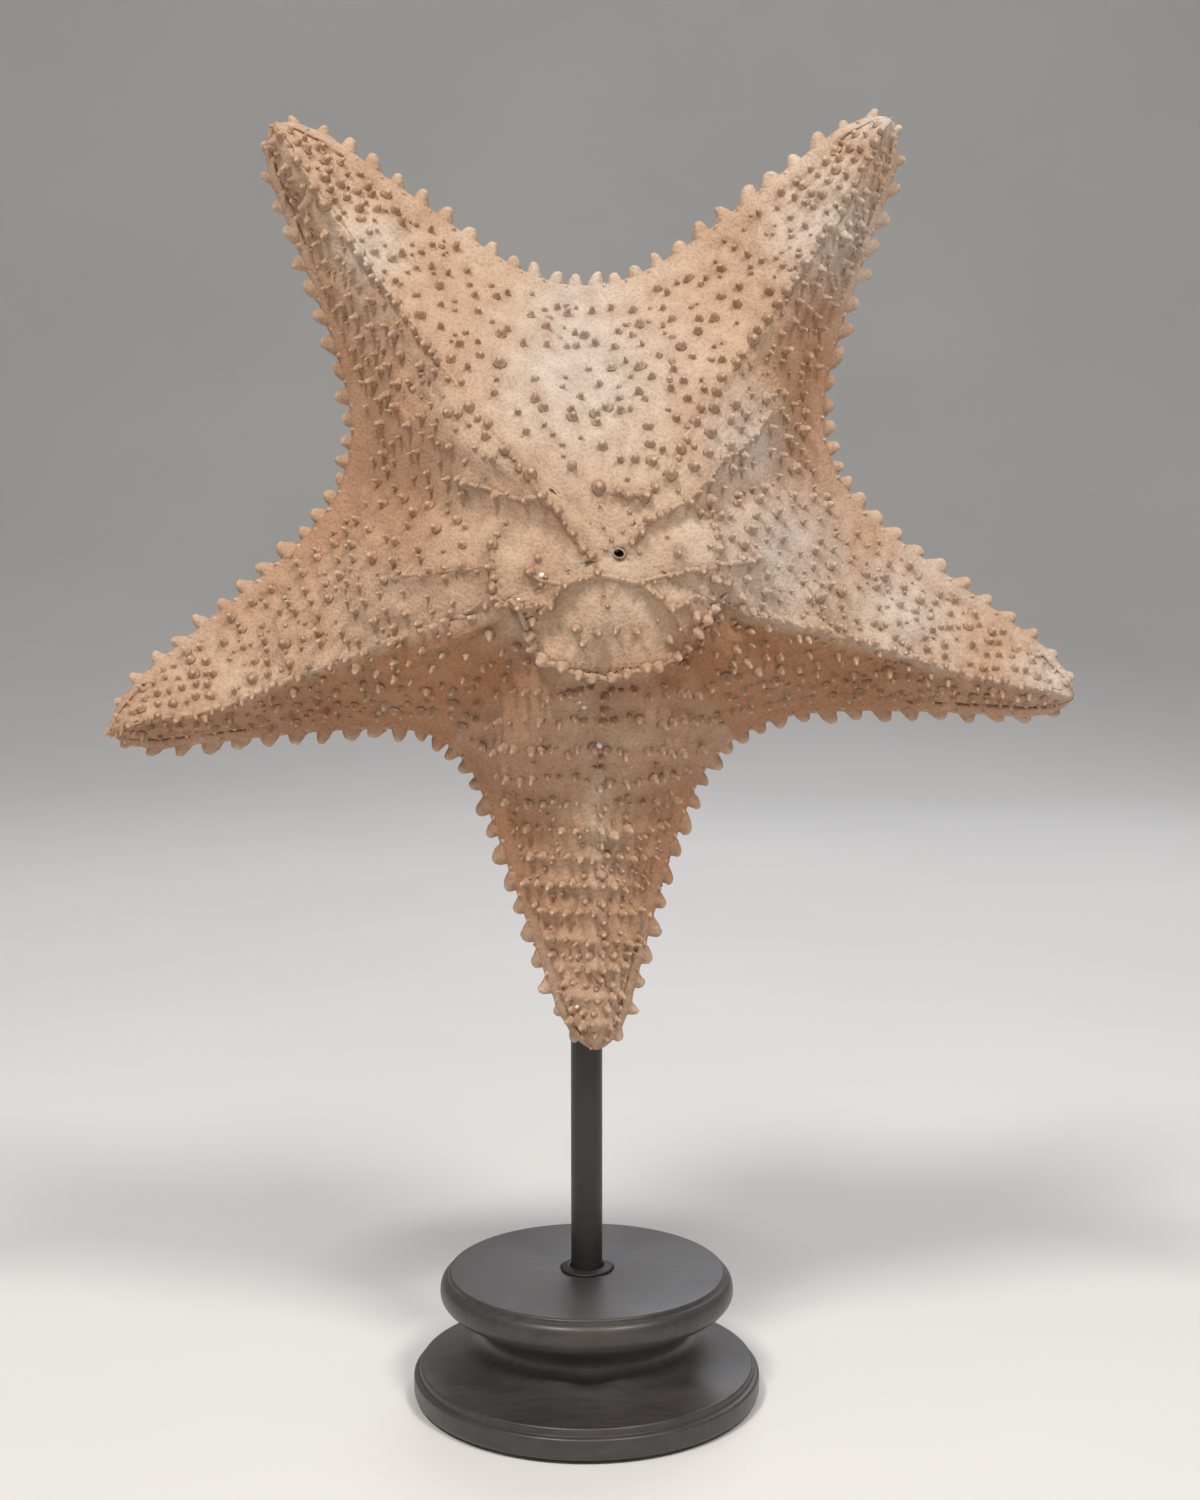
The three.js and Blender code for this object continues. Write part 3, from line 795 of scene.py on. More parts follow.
    def swell(self, points: Array, studs: "Studs") -> tuple[Array, Array]:
        """Rise of the skin round the feet of the tubercles and spines, and the stain round them.

        Each foot draws the hide up into a hollow-sided tent about as wide as itself. The highest counts.
        """
        rise = np.zeros(len(points))
        stain = np.zeros(len(points))
        feet = studs.places
        squares = (feet**2).sum(axis=1)
        for start in range(0, len(points), 8000):
            part = points[start : start + 8000]
            squared = (part**2).sum(axis=1)[:, None] + squares - 2.0 * part @ feet.T
            distance = np.sqrt(np.maximum(squared, 0.0))
            rise[start : start + 8000] = (cusp(distance, 1.9 * studs.radii) * studs.swelling).max(axis=1)
            stain[start : start + 8000] = (bell(distance, 2.2 * studs.radii) * studs.stain).max(axis=1)
        return rise, 0.55 * stain


@dataclass
class Studs:
    """Feet, directions and sizes of many small cones, in star millimetres."""

    places: Array
    ups: Array
    radii: Array
    heights: Array
    tones: Array
    swelling: Array
    stain: Array

    @classmethod
    def joined(cls, parts: list["Studs"]) -> "Studs":
        """All the parts' studs in one."""
        return cls(*[np.concatenate(values) for values in zip(*[vars(part).values() for part in parts])])

    def chosen(self, keep: Array) -> "Studs":
        """The studs that keep names."""
        return Studs(*[values[keep] for values in vars(self).values()])


@dataclass(frozen=True)
class StudShape:
    """One small cone of unit size, from a pole sunk in the skin to a pole at its rounded tip.

    Args:
        sides: points round it.
        rings: (radius, height) of each ring, as shares of the foot radius and the height.
        bottom: height of the sunk pole.
    """

    sides: int
    rings: tuple[tuple[float, float], ...]
    bottom: float = -0.35

    def template(self) -> tuple[Array, Array]:
        """Radius, turn and height of each point, and the faces as quads whose poles repeat a corner."""
        count, rings = self.sides, len(self.rings)
        radius = np.concatenate([[0.0], np.repeat([r for r, _ in self.rings], count), [0.0]])
        height = np.concatenate([[self.bottom], np.repeat([h for _, h in self.rings], count), [1.0]])
        angle = np.tile(np.arange(count) * 2.0 * math.pi / count, rings)
        turn = np.concatenate([[0.0], angle, [0.0]])
        here = np.arange(count)
        after = (here + 1) % count
        foot = np.stack([1 + after, 1 + here, np.zeros_like(here), np.zeros_like(here)], axis=1)
        starts = 1 + count * np.arange(rings)
        bands = [
            np.stack([low + here, low + after, high + after, high + here], axis=1)
            for low, high in zip(starts[:-1], starts[1:])
        ]
        top = np.full_like(here, 1 + rings * count)
        tip = np.stack([starts[-1] + here, starts[-1] + after, top, top], axis=1)
        return np.stack([radius, turn, height]), np.concatenate([foot, *bands, tip])

    def mesh(
        self, name: str, studs: Studs, seat: StarSeat, seed: int, tints: Tints
    ) -> bpy.types.Object:
        """Stands a cone on every stud.

        Each point is the foot plus radius times (cos U + sin V) plus height times the direction, with U
        and V square to it. Cones are slightly bent and oval, at random.

        Args:
            name: the piece's name.
            studs: where the cones stand.
            seat: the star's place in the object's frame.
            seed: seed of the unevenness.
            tints: the hide's tints at each stud.

        Returns:
            The object, with the hide's tints, and the pale tip, strongest at the tip: partly the cone's own
            paler tip, partly painted highlight.
        """
        (radius, turn, height), faces = self.template()
        rng = np.random.default_rng(seed)
        count = len(studs.radii)
        helper = np.where(np.abs(studs.ups[:, 2:3]) < 0.8, [[0.0, 0.0, 1.0]], [[1.0, 0.0, 0.0]])
        u = unit(np.cross(helper, studs.ups))
        v = np.cross(studs.ups, u)
        start = rng.uniform(0.0, 2.0 * math.pi, (count, 1))
        oval = rng.uniform(0.88, 1.12, (count, 1))
        bend = rng.normal(0.0, 0.09, (count, 2))
        uneven = 1.0 + rng.normal(0.0, 0.05, (count, len(radius)))
        out = studs.radii[:, None] * radius * uneven
        rise = studs.heights[:, None] * height
        curve = np.maximum(height, 0.0) ** 2
        along_u = out * np.cos(turn + start) * oval + bend[:, :1] * rise * curve
        along_v = out * np.sin(turn + start) / oval + bend[:, 1:] * rise * curve
        points = (
            studs.places[:, None, :]
            + along_u[..., None] * u[:, None, :]
            + along_v[..., None] * v[:, None, :]
            + rise[..., None] * studs.ups[:, None, :]
        ).reshape(-1, 3)
        offsets = (np.arange(count) * len(radius))[:, None, None]
        made = mesh_object(name, seat.world(points), (faces[None] + offsets).reshape(-1, 4))
        # The stain is round the middle of a cone, and above it the tip is painted pale: partly its own paler
        # tip, partly painted highlight.
        middle = (0.55 + 0.45 * smooth(height / 0.3)) * (1.0 - smooth((height - 0.72) / 0.4))
        pale_tip = smooth((height - 0.62) / 0.38)
        for key, values in tints.items():
            share = middle if key == "stain" else np.ones_like(height)
            add_value(made, key, (values[:, None] * share).ravel())
        add_value(made, "lime", ((0.45 + 0.55 * studs.tones[:, None]) * pale_tip).ravel())
        return made


class Size(Enum):
    """Kinds of tubercle: foot radius and height in millimetres, and how dark its foot is."""

    LARGE = (1.3, 2.3, 1.0)
    CREST = (1.1, 2.3, 0.8)
    MEDIUM = (1.05, 2.2, 1.0)
    FLANK = (0.92, 2.0, 0.95)
    LIP = (1.35, 2.0, 0.0)
    TIP = (1.0, 1.8, 0.6)
    BEAD = (0.8, 1.05, 1.0)
    SMALL = (0.6, 1.15, 0.9)


@dataclass
class Tubercles:
    """Choice of the places where the tubercles stand, each on a point of the skin's grid."""

    skin: StarSkin
    grid: SkinGrid
    normals: Array
    crest_pitch: float = 4.6
    tip_from: float = 120.0
    tip_pitch: float = 4.1
    small_count: int = 760
    bead_pitch: float = 3.0
    lip_pitch: float = 4.9
    # Spacing along the arm and across it, and how far places wander, on each notch's flanks.
    spacing: tuple[tuple[float, float, float], ...] = (
        (6.3, 6.2, 1.4), (5.9, 5.0, 0.8), (5.4, 5.2, 0.9), (5.4, 5.2, 0.9), (5.9, 5.0, 0.8),
    )
    lower_spacing: tuple[float, float, float] = (8.5, 3.9, 0.45)
    rng: np.random.Generator = field(default_factory=lambda: np.random.default_rng(21))

    def seated(self, indices: Array, size: Size, spread: float = 0.14) -> Studs:
        """Studs of one kind on grid points, with random variation of their sizes."""
        radius, height, stain = size.value
        count = len(indices)
        radii = radius * np.clip(self.rng.normal(1.0, spread, count), 0.65, 1.35)
        heights = height * np.clip(self.rng.normal(1.0, spread, count), 0.6, 1.4)
        tilt = self.rng.normal(0.0, 0.1, (count, 3))
        return Studs(
            self.grid.points[indices],
            unit(self.normals[indices] + tilt),
            radii,
            heights,
            self.rng.uniform(0.0, 1.0, count),
            0.6 * radii,
            np.full(count, stain),
        )

    def nearest_in_plan(self, places: Line) -> Array:
        """The upper-side grid point nearest to each (right, up) place."""
        upper = np.flatnonzero(self.grid.share > 0.02)
        plan = self.grid.plan[upper]
        gap = np.linalg.norm(plan[None] - np.array(places, float)[:, None], axis=2)
        return upper[gap.argmin(axis=1)]

    def nearest_on_flank(self, half: int, places: Array, limit: float = 1.4) -> Array:
        """The grid points of a half arm nearest to (x, across) places, leaving out places off the flank."""
        inside = np.flatnonzero((self.grid.half == half) & (self.grid.share > 0.06))
        spots = np.stack([self.grid.x[inside], self.grid.across[inside]], axis=1)
        gap = np.linalg.norm(spots[None] - places[:, None], axis=2)
        return inside[gap.argmin(axis=1)][gap.min(axis=1) < limit]

    def on_disc(self) -> list[Studs]:
        """The net's own tubercles and those of the lip."""
        net = self.skin.net
        large = self.seated(self.nearest_in_plan(net.large), Size.LARGE, 0.08)
        lip = self.strung((net.lip[1:-1],), self.lip_pitch)
        return [
            large,
            self.seated(self.nearest_in_plan(lip), Size.LIP, 0.16),
            self.seated(self.nearest_in_plan(net.medium), Size.MEDIUM, 0.1),
            self.seated(self.nearest_in_plan(net.small), Size.SMALL, 0.15),
            self.seated(self.nearest_in_plan(self.strung(net.ridges, self.bead_pitch)), Size.BEAD, 0.3),
        ]

    def strung(self, lines: tuple[Line, ...], pitch: float) -> Line:
        """Places strung along polylines at a pitch, each moved a little at random."""
        places: list[tuple[float, float]] = []
        for line in lines:
            corners = np.array(line, float)
            lengths = travelled(corners)
            at = np.arange(pitch / 2, lengths[-1], pitch)
            at = at + self.rng.normal(0.0, 0.15 * pitch, len(at))
            right, up = (np.interp(at, lengths, corners[:, axis]) for axis in (0, 1))
            places.extend(zip(right, up))
        return tuple(places)

    def on_arms(self) -> list[Studs]:
        """Crest tubercles, then rows of flank tubercles, alternate rows shifted by half a pitch."""
        made = []
        reach = self.skin.net_reach
        for number, half in enumerate(self.skin.form.halves()):
            low = half.notch_index in (2, 3)
            if half.side > 0:
                x = np.arange(reach[0] + 9.0, self.tip_from + 12.0, self.crest_pitch)
                x = x + self.rng.normal(0.0, 0.6, len(x))
                spots = self.nearest_on_flank(number, np.stack([x, np.full_like(x, 0.2)], axis=1), 2.0)
                made.append(self.seated(spots, Size.CREST))
            lower = half.arm_index == self.skin.lower_arm
            row_pitch, line_pitch, wander = self.lower_spacing if lower else self.spacing[half.notch_index]
            row = np.arange(0.0, self.tip_from, row_pitch)
            lines = np.arange(0, 24)
            shift = 0.5 * (np.arange(len(row)) % 2)[:, None]
            across = (lines[None] + 1.0 - shift) * line_pitch
            x = np.broadcast_to(row[:, None], across.shape)
            places = np.stack([x.ravel(), across.ravel()], axis=1)
            places = places + self.rng.normal(0.0, wander, places.shape)
            spots = self.nearest_on_flank(number, places)
            radius = np.linalg.norm(self.grid.plan[spots], axis=1)
            spots = spots[radius > reach[0] + 4.0]
            lot = self.rng.uniform(size=len(spots))
            made.append(self.seated(spots[lot < 0.34], Size.MEDIUM, 0.2))
            made.append(self.seated(spots[(lot > 0.34) & (lot < (0.9 if low else 0.8))], Size.FLANK, 0.2))
            made.append(self.seated(spots[lot > 0.9], Size.SMALL, 0.2))
        return made

    def on_tips(self) -> list[Studs]:
        """The crowded tubercles of the arms' ends."""
        made = []
        for number in range(len(self.skin.form.halves())):
            along = np.arange(self.tip_from, 152.0, self.tip_pitch)
            x, across = np.meshgrid(along, np.arange(0.0, 40.0, self.tip_pitch))
            places = np.stack([x.ravel(), across.ravel()], axis=1)
            places = places + self.rng.normal(0.0, 0.5, places.shape)
            made.append(self.seated(self.nearest_on_flank(number, places), Size.TIP, 0.2))
        return made

    def between(self) -> list[Studs]:
        """Small tubercles strewn between the others, most of them on ridges."""
        radius = self.grid.gap()
        upper = np.flatnonzero((self.grid.share > 0.05) & (radius > self.skin.net_reach[0]))
        _, ridge = self.skin.relief(self.grid)
        chance = (0.4 + ridge[upper]) * smooth((radius[upper] - 20.0) / 60.0)
        chance = chance * (1.0 - 0.9 * smooth((self.grid.x[upper] - self.tip_from + 12.0) / 10.0))
        picks = self.rng.choice(upper, self.small_count, replace=False, p=chance / chance.sum())
        return [self.seated(picks, Size.SMALL, 0.25)]

    def spaced(self, studs: Studs, overlap: float = 1.05) -> Studs:
        """Drops each stud whose foot would overlap one that comes before it."""
        kept = np.zeros(len(studs.radii), bool)
        for index in range(len(kept)):
            before = np.flatnonzero(kept[:index])
            gap = np.linalg.norm(studs.places[before] - studs.places[index], axis=1)
            room = (studs.radii[before] + studs.radii[index]) * overlap + 0.45
            kept[index] = not np.any(gap < room)
        return studs.chosen(kept)

    def all(self) -> Studs:
        """Every tubercle, the disc's first, so that it keeps its place."""
        every = [*self.on_disc(), *self.on_arms(), *self.on_tips(), *self.between()]
        return self.spaced(Studs.joined(every))


@dataclass(frozen=True)
class Welt:
    """A path along the skin's crest lines: places on the relieved skin, outward directions and height."""

    spot: SkinGrid
    places: Array
    ups: Array
    rise: Array
    stain: float


Tinting = Callable[[SkinGrid, Array, Array], Tints]


@dataclass
class Welts:
    """Crisp welts on the ridges, where the hide is drawn over the edges of the plates.

    Each is a low, flared bead along a path, sunk into the skin. The grid's relief gives their broad feet.
    """

    skin: StarSkin
    grid: SkinGrid
    normals: Array
    studs: Studs
    step: float = 0.9
    half_width: float = 0.7
    net_rise: float = 0.34
    lip_rise: float = 0.25
    net_stain: float = 0.62
    pale_stain: float = 0.1
    # Section of a bead, as shares of its half width and height, anticlockwise as seen along the path.
    section: tuple[tuple[float, float], ...] = (
        (1.9, -3.0), (1.05, -0.6), (0.5, 0.5), (0.0, 1.0), (-0.5, 0.5), (-1.05, -0.6), (-1.9, -3.0),
    )

    def on_skin(self, spot: SkinGrid, ups: Array, height: Array, stain: float) -> Welt:
        """A welt through places of the smooth body, lifted to the relieved skin."""
        rise, _ = self.skin.relief(spot)
        swelling, _ = self.skin.swell(spot.points, self.studs)
        return Welt(spot, spot.points + (rise + swelling)[:, None] * ups, ups, height, stain)

    def evened(self, line: Array, wander: float) -> Array:
        """Points every step along a polyline, its corners rounded by averaging, with a slight wander."""
        lengths = travelled(line)
        count = max(4, int(lengths[-1] / self.step))
        at = np.linspace(0.0, lengths[-1], count)
        even = np.stack([np.interp(at, lengths, line[:, k]) for k in range(line.shape[1])], axis=1)
        for _ in range(2):
            even[1:-1] = (even[:-2] + even[1:-1] + even[2:]) / 3.0
        swing = np.sin(at / 2.3 + line[0, 0]) + np.sin(at / 1.1 + line[0, 1])
        even[:, 0] += wander * swing * 0.5
        even[:, 1] += wander * np.cos(at / 1.7 + line[0, 0]) * 0.6
        return even

    def net_welts(self) -> list[Welt]:
        """Welts of the disc's net, whose plan paths are dropped on the body's nearest tangent planes."""
        made = []
        upper = np.flatnonzero(self.grid.share > 0.02)
        lines = [(line, self.net_rise, self.net_stain) for line in self.skin.net.ridges]
        for line, height, stain in (*lines, (self.skin.net.lip, self.lip_rise, self.pale_stain)):
            plan = self.evened(np.array(line, float), 0.3)
            gap = np.linalg.norm(self.grid.plan[upper][None] - plan[:, None], axis=2)
            near = upper[gap.argmin(axis=1)]
            ups = self.normals[near]
            offset = plan - self.grid.plan[near]
            fall = (ups[:, :2] * offset).sum(axis=1) / np.maximum(ups[:, 2], 0.25)
            front = self.grid.points[near, 2] - fall
            spot = self.grid.at(near, np.column_stack([plan, front]))
            along = np.linspace(0.0, 1.0, len(plan))
            ends = smooth(along / 0.08) * smooth((1.0 - along) / 0.08)
            broken = np.clip(0.8 + 0.4 * Lumps(9.0, 72).at(spot.points), 0.3, 1.2)
            made.append(self.on_skin(spot, ups, height * (0.35 + 0.65 * ends) * broken, stain))
        return made

    def crest_welts(self) -> list[Welt]:
        """Welts along the crests of all the arms but the lower one, fainter on the two upper arms."""
        made = []
        a = np.linspace(0.0, 0.985, 160)
        for number, half in enumerate(self.skin.form.halves()):
            if half.side > 0 and half.arm_index != self.skin.lower_arm:
                height = self.net_rise * (1.0 if half.arm_index > 1 else 0.6)
                made.append(self.traced(number, half, a, np.full_like(a, 0.999), height))
        return made

    def traced(self, number: int, half: HalfArm, a: Array, b: Array, height: float) -> Welt:
        """A welt through (a, b) places of a half arm, lower near the disc's net, the tip and at random."""
        form = self.skin.form
        smooth_path = form.flank(half, a, b)
        path = self.evened(np.column_stack([smooth_path, a, b]), 0.25)
        a, b = path[:, 3], path[:, 4]
        nudge = 2e-3
        ahead, behind = np.minimum(a + nudge, 1.0), np.maximum(a - nudge, 0.0)
        along = form.flank(half, ahead, b) - form.flank(half, behind, b)
        inward = form.flank(half, a, np.minimum(b + nudge, 1.0)) - form.flank(half, a, b - nudge)
        ups = unit(np.cross(inward, along) * half.side)
        x, reach = form.flank_reach(half, a, b)
        numbers = np.full(len(a), number)
        spot = SkinGrid(path[:, :3], np.zeros((0, 4), int), x, reach, b, np.zeros(len(a)), numbers)
        radius = np.linalg.norm(path[:, :2], axis=1)
        inner, outer = self.skin.net_reach
        fade = smooth((radius - inner) / (outer - inner)) * (1.0 - smooth((x - 128.0) / 16.0))
        broken = np.clip(0.8 + 0.5 * Lumps(13.0, 71).at(path[:, :3]), 0.3, 1.3)
        return self.on_skin(spot, ups, height * fade * broken, self.pale_stain)

    def mesh(self, name: str, seat: StarSeat, tints: Tinting) -> bpy.types.Object:
        """Carries the section along every welt. Both ends are drawn to a point under the skin.

        Args:
            name: the piece's name.
            seat: the star's place in the object's frame.
            tints: gives the skin's tints at places, from how much ridge and stain they have.

        Returns:
            The object, with the hide's own attributes.
        """
        section = np.array(self.section)
        count = len(section)
        points, faces, tinted, total = [], [], [], 0
        crown = np.clip(section[:, 1], 0.0, 1.0)
        for welt in (*self.net_welts(), *self.crest_welts()):
            ahead = unit(np.gradient(welt.places, axis=0))
            aside = unit(np.cross(ahead, welt.ups))
            width = self.half_width * np.clip(welt.rise / self.net_rise, 0.3, 1.3) ** 0.5
            sunk = np.minimum(0.0, 1.2 * (welt.rise - 0.12))
            ring = (
                welt.places[:, None]
                + aside[:, None] * (width[:, None] * section[:, 0])[..., None]
                + welt.ups[:, None] * (welt.rise[:, None] * section[:, 1] + sunk[:, None])[..., None]
            )
            ends = welt.places[[0, -1]] - 0.5 * welt.ups[[0, -1]]
            ring[0], ring[-1] = ends[0], ends[1]
            quads = grid_faces(len(ring), count)
            wrap = np.arange(len(ring) - 1)[:, None] * count
            below = np.concatenate([wrap + count - 1, wrap, wrap + count, wrap + 2 * count - 1], axis=1)
            points.append(ring.reshape(-1, 3))
            faces.append(np.concatenate([quads, below])[:, ::-1] + total)
            here = tints(welt.spot, np.zeros(len(ring)), np.full(len(ring), welt.stain))
            shares = {"stain": np.tile(0.6 + 0.3 * crown, len(ring))}
            spread = {key: np.repeat(values, count) for key, values in here.items()}
            tinted.append({key: values * shares.get(key, 1.0) for key, values in spread.items()})
            total += ring.shape[0] * count
        joined, back, first = merged(np.concatenate(points), 1e-4)
        made = mesh_object(name, seat.world(joined), back[np.concatenate(faces)])
        for key in tinted[0]:
            add_value(made, key, np.concatenate([values[key] for values in tinted])[first])
        return made


@dataclass
class MarginFringe:
    """Marginal spines: a row of blunt spines round the edge, each on its own plate."""

    form: StarForm
    pitch_notch: float = 6.0
    pitch_arm: float = 8.6
    eased_over: float = 35.0
    stand: float = 4.0
    root: float = 2.0
    foot_radius: float = 2.9
    lean: float = 0.35
    rng: np.random.Generator = field(default_factory=lambda: np.random.default_rng(33))

    def distances(self, half: HalfArm) -> tuple[Array, Array]:
        """Row parameters of a half arm's spines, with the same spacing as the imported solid's.

        Returns:
            Row parameters of the spines, and of the places half way between them.
        """
        a = np.linspace(0.0, 1.0, 3000)
        line = self.form.margin(half, a, np.zeros_like(a))
        lengths = travelled(line)
        steps = [self.pitch_notch / 2]
        while steps[-1] < lengths[-1]:
            eased = min(1.0, steps[-1] / self.eased_over)
            steps.append(steps[-1] + self.pitch_notch + (self.pitch_arm - self.pitch_notch) * eased)
        at = np.array(steps[:-1])
        middle = (at[1:] + at[:-1]) / 2
        return np.interp(at, lengths, a), np.interp(middle, lengths, a)

    def studs(self, half: HalfArm, a: Array, turn: float, radius: float, stand: float) -> Studs:
        """Studs that stand out of the margin at row parameters a.

        The direction is outwards, plus the lean times the direction to the tip, plus the turn's rise.
        """
        level = np.full_like(a, turn)
        foot = self.form.margin(half, a, level)
        ahead = self.form.margin(half, np.minimum(a + 1e-3, 1.0), level)
        behind = self.form.margin(half, np.maximum(a - 1e-3, 0.0), level)
        top = self.form.margin(half, a, np.full_like(a, math.pi / 2))
        bottom = self.form.margin(half, a, np.full_like(a, -math.pi / 2))
        out = unit(self.form.margin(half, a, np.zeros_like(a)) - (top + bottom) / 2)
        along = unit(ahead - behind)
        lean = self.lean * smooth(np.linspace(0.0, 3.0, len(a)))[:, None]
        front = np.array([0.0, 0.0, 1.0])
        spread = math.cos(turn) * out + lean * along + math.sin(turn) * front
        ups = unit(spread + self.rng.normal(0.0, 0.08, foot.shape))
        count = len(a)
        # Spines are slimmer next to the notch, and slimmer and lower towards the tip.
        to_tip = smooth((a - 0.45) / 0.5)
        eased = 0.82 + 0.14 * smooth(np.linspace(0.0, 3.0, count)) - 0.3 * to_tip
        radii = radius * eased * np.clip(self.rng.normal(1.0, 0.08, count), 0.75, 1.3)
        length = stand * (1.0 - 0.35 * to_tip) + self.root
        heights = length * np.clip(self.rng.normal(1.0, 0.09, count), 0.75, 1.12)
        return Studs(
            foot - self.root * ups,
            ups,
            radii,
            heights,
            self.rng.uniform(0.0, 1.0, count),
            np.full(count, 1.3),
            np.full(count, 0.1),
        )

    def large(self) -> Studs:
        """The spines proper."""
        made = []
        for half in self.form.halves():
            at, _ = self.distances(half)
            made.append(self.studs(half, at, 0.0, self.foot_radius, self.stand))
        return Studs.joined(made)

    def small(self) -> Studs:
        """The lesser spines above and below the row, half way between the large ones and over them."""
        made = []
        for half in self.form.halves():
            at, middle = self.distances(half)
            made.append(self.studs(half, middle, 0.75, 1.35, 1.5))
            made.append(self.studs(half, middle, -0.5, 1.3, 1.2))
            made.append(self.studs(half, at, -1.1, 1.2, 1.2))
        return Studs.joined(made)


@dataclass
class FurrowSpines:
    """The spines of the under side: a comb along each side of the furrows, and a coarser row outside it."""

    form: StarForm
    resin_low: float
    resin_high: float
    rod_half_width: float = 9.6
    bare_rod_half_width: float = 6.4
    rng: np.random.Generator = field(default_factory=lambda: np.random.default_rng(44))

    def row(
        self, half: HalfArm, pitch: float, share: float, radius: float, height: float, lean: float
    ) -> Studs:
        """One row along a half arm, share of the way from the furrow's edge to the margin.

        The spines point backwards and lean to the furrow by the given amount. None stands where the rod
        and the resin are.
        """
        a = np.linspace(0.0, 0.97, 2000)
        edge = self.form.oral(half, a, np.full_like(a, 1.0))
        lengths = travelled(edge)
        at = np.interp(np.arange(pitch / 2, lengths[-1], pitch), lengths, a)
        foot = self.form.oral(half, at, np.full_like(at, 1.0 - share))
        middle = self.form.furrow(half, at, np.full_like(at, 1.0))
        inward = (middle - foot) * np.array([1.0, 1.0, 0.0])
        back = np.array([0.0, 0.0, -1.0])
        inward = unit(inward) * np.minimum(1.0, np.linalg.norm(inward, axis=1, keepdims=True))
        ups = unit(back + lean * inward + self.rng.normal(0.0, 0.1, foot.shape))
        free = ~((np.abs(foot[:, 0]) < self.rod_half_width) & (foot[:, 1] < self.resin_high))
        free |= (foot[:, 1] < self.resin_low) & (np.abs(foot[:, 0]) > self.bare_rod_half_width)
        count = len(at)
        row = Studs(
            foot,
            ups,
            radius * np.clip(self.rng.normal(1.0, 0.12, count), 0.7, 1.3),
            height * np.clip(self.rng.normal(1.0, 0.15, count), 0.6, 1.4),
            self.rng.uniform(0.0, 1.0, count),
            np.full(count, 0.0),
            np.full(count, 0.3),
        )
        return row.chosen(free)

    def all(self) -> Studs:
        """Every spine of the under side."""
        made = []
        for half in self.form.halves():
            made.append(self.row(half, 2.3, 0.0, 0.75, 3.4, 0.45))
            made.append(self.row(half, 3.2, 0.1, 1.05, 2.6, -0.1))
            made.append(self.row(half, 4.6, 0.24, 1.1, 1.3, -0.1))
        return Studs.joined(made)


# ------------------------------------------------------------------ finishes


def srgb(code: str) -> tuple[float, float, float, float]:
    """A hex colour as linear red, green, blue and alpha."""
    parts = [int(code.lstrip("#")[i : i + 2], 16) / 255.0 for i in (0, 2, 4)]
    linear = [c / 12.92 if c <= 0.04045 else ((c + 0.055) / 1.055) ** 2.4 for c in parts]
    return (*linear, 1.0)


class Kind(Enum):
    """The kinds of shader node that the finishes use."""

    NOISE = "ShaderNodeTexNoise"
    CELLS = "ShaderNodeTexVoronoi"
    RAMP = "ShaderNodeValToRGB"
    RANGE = "ShaderNodeMapRange"
    BUMP = "ShaderNodeBump"
    MIX = "ShaderNodeMix"
    MATHS = "ShaderNodeMath"
    TINT = "ShaderNodeAttribute"
    MAPPING = "ShaderNodeMapping"
    PLACE = "ShaderNodeTexCoord"


# Socket numbers of the Mix node set to colours.
MIX_SHARE, MIX_FIRST, MIX_SECOND, MIX_RESULT = 0, 6, 7, 2
Stops = tuple[tuple[float, str], ...]
WHITE = "#FFFFFF"


@dataclass
class Finish:
    """A material under construction: its node tree and its surface shader."""

    name: str

    def __post_init__(self) -> None:
        """Makes the material, with one Principled shader."""
        self.material = bpy.data.materials.new(self.name)
        self.material.use_nodes = True
        self.tree = self.material.node_tree
        self.shader = self.tree.nodes["Principled BSDF"]
        self.place = self.add(Kind.PLACE).outputs["Object"]

    def add(
        self, kind: Kind, inputs: dict | None = None, stops: Stops = (), **settings: object
    ) -> bpy.types.Node:
        """Adds a node.

        Args:
            kind: the kind of node.
            inputs: a value, or the socket to link from, for each input by name or number.
            stops: (place, hex colour) pairs of a colour ramp.
            settings: the node's own properties.

        Returns:
            The new node.
        """
        node = self.tree.nodes.new(kind.value)
        for key, value in settings.items():
            setattr(node, key, value)
        for key, value in (inputs or {}).items():
            if isinstance(value, bpy.types.NodeSocket):
                self.tree.links.new(value, node.inputs[key])
            else:
                node.inputs[key].default_value = value
        for index, (place, code) in enumerate(stops):
            ramp = node.color_ramp.elements
            element = ramp[index] if index < len(ramp) else ramp.new(place)
            element.position = place
            element.color = srgb(code)
        return node

    def surface(self, **inputs: object) -> bpy.types.Material:
        """Sets or links the shader's sockets. Underscores in a name stand for spaces."""
        for key, value in inputs.items():
            socket = self.shader.inputs[key.replace("_", " ")]
            if isinstance(value, bpy.types.NodeSocket):
                self.tree.links.new(value, socket)
            else:
                socket.default_value = value
        return self.material


def per_metre(size: float) -> float:
    """The scale of a texture whose features are size millimetres apart."""
    return 1000.0 / size


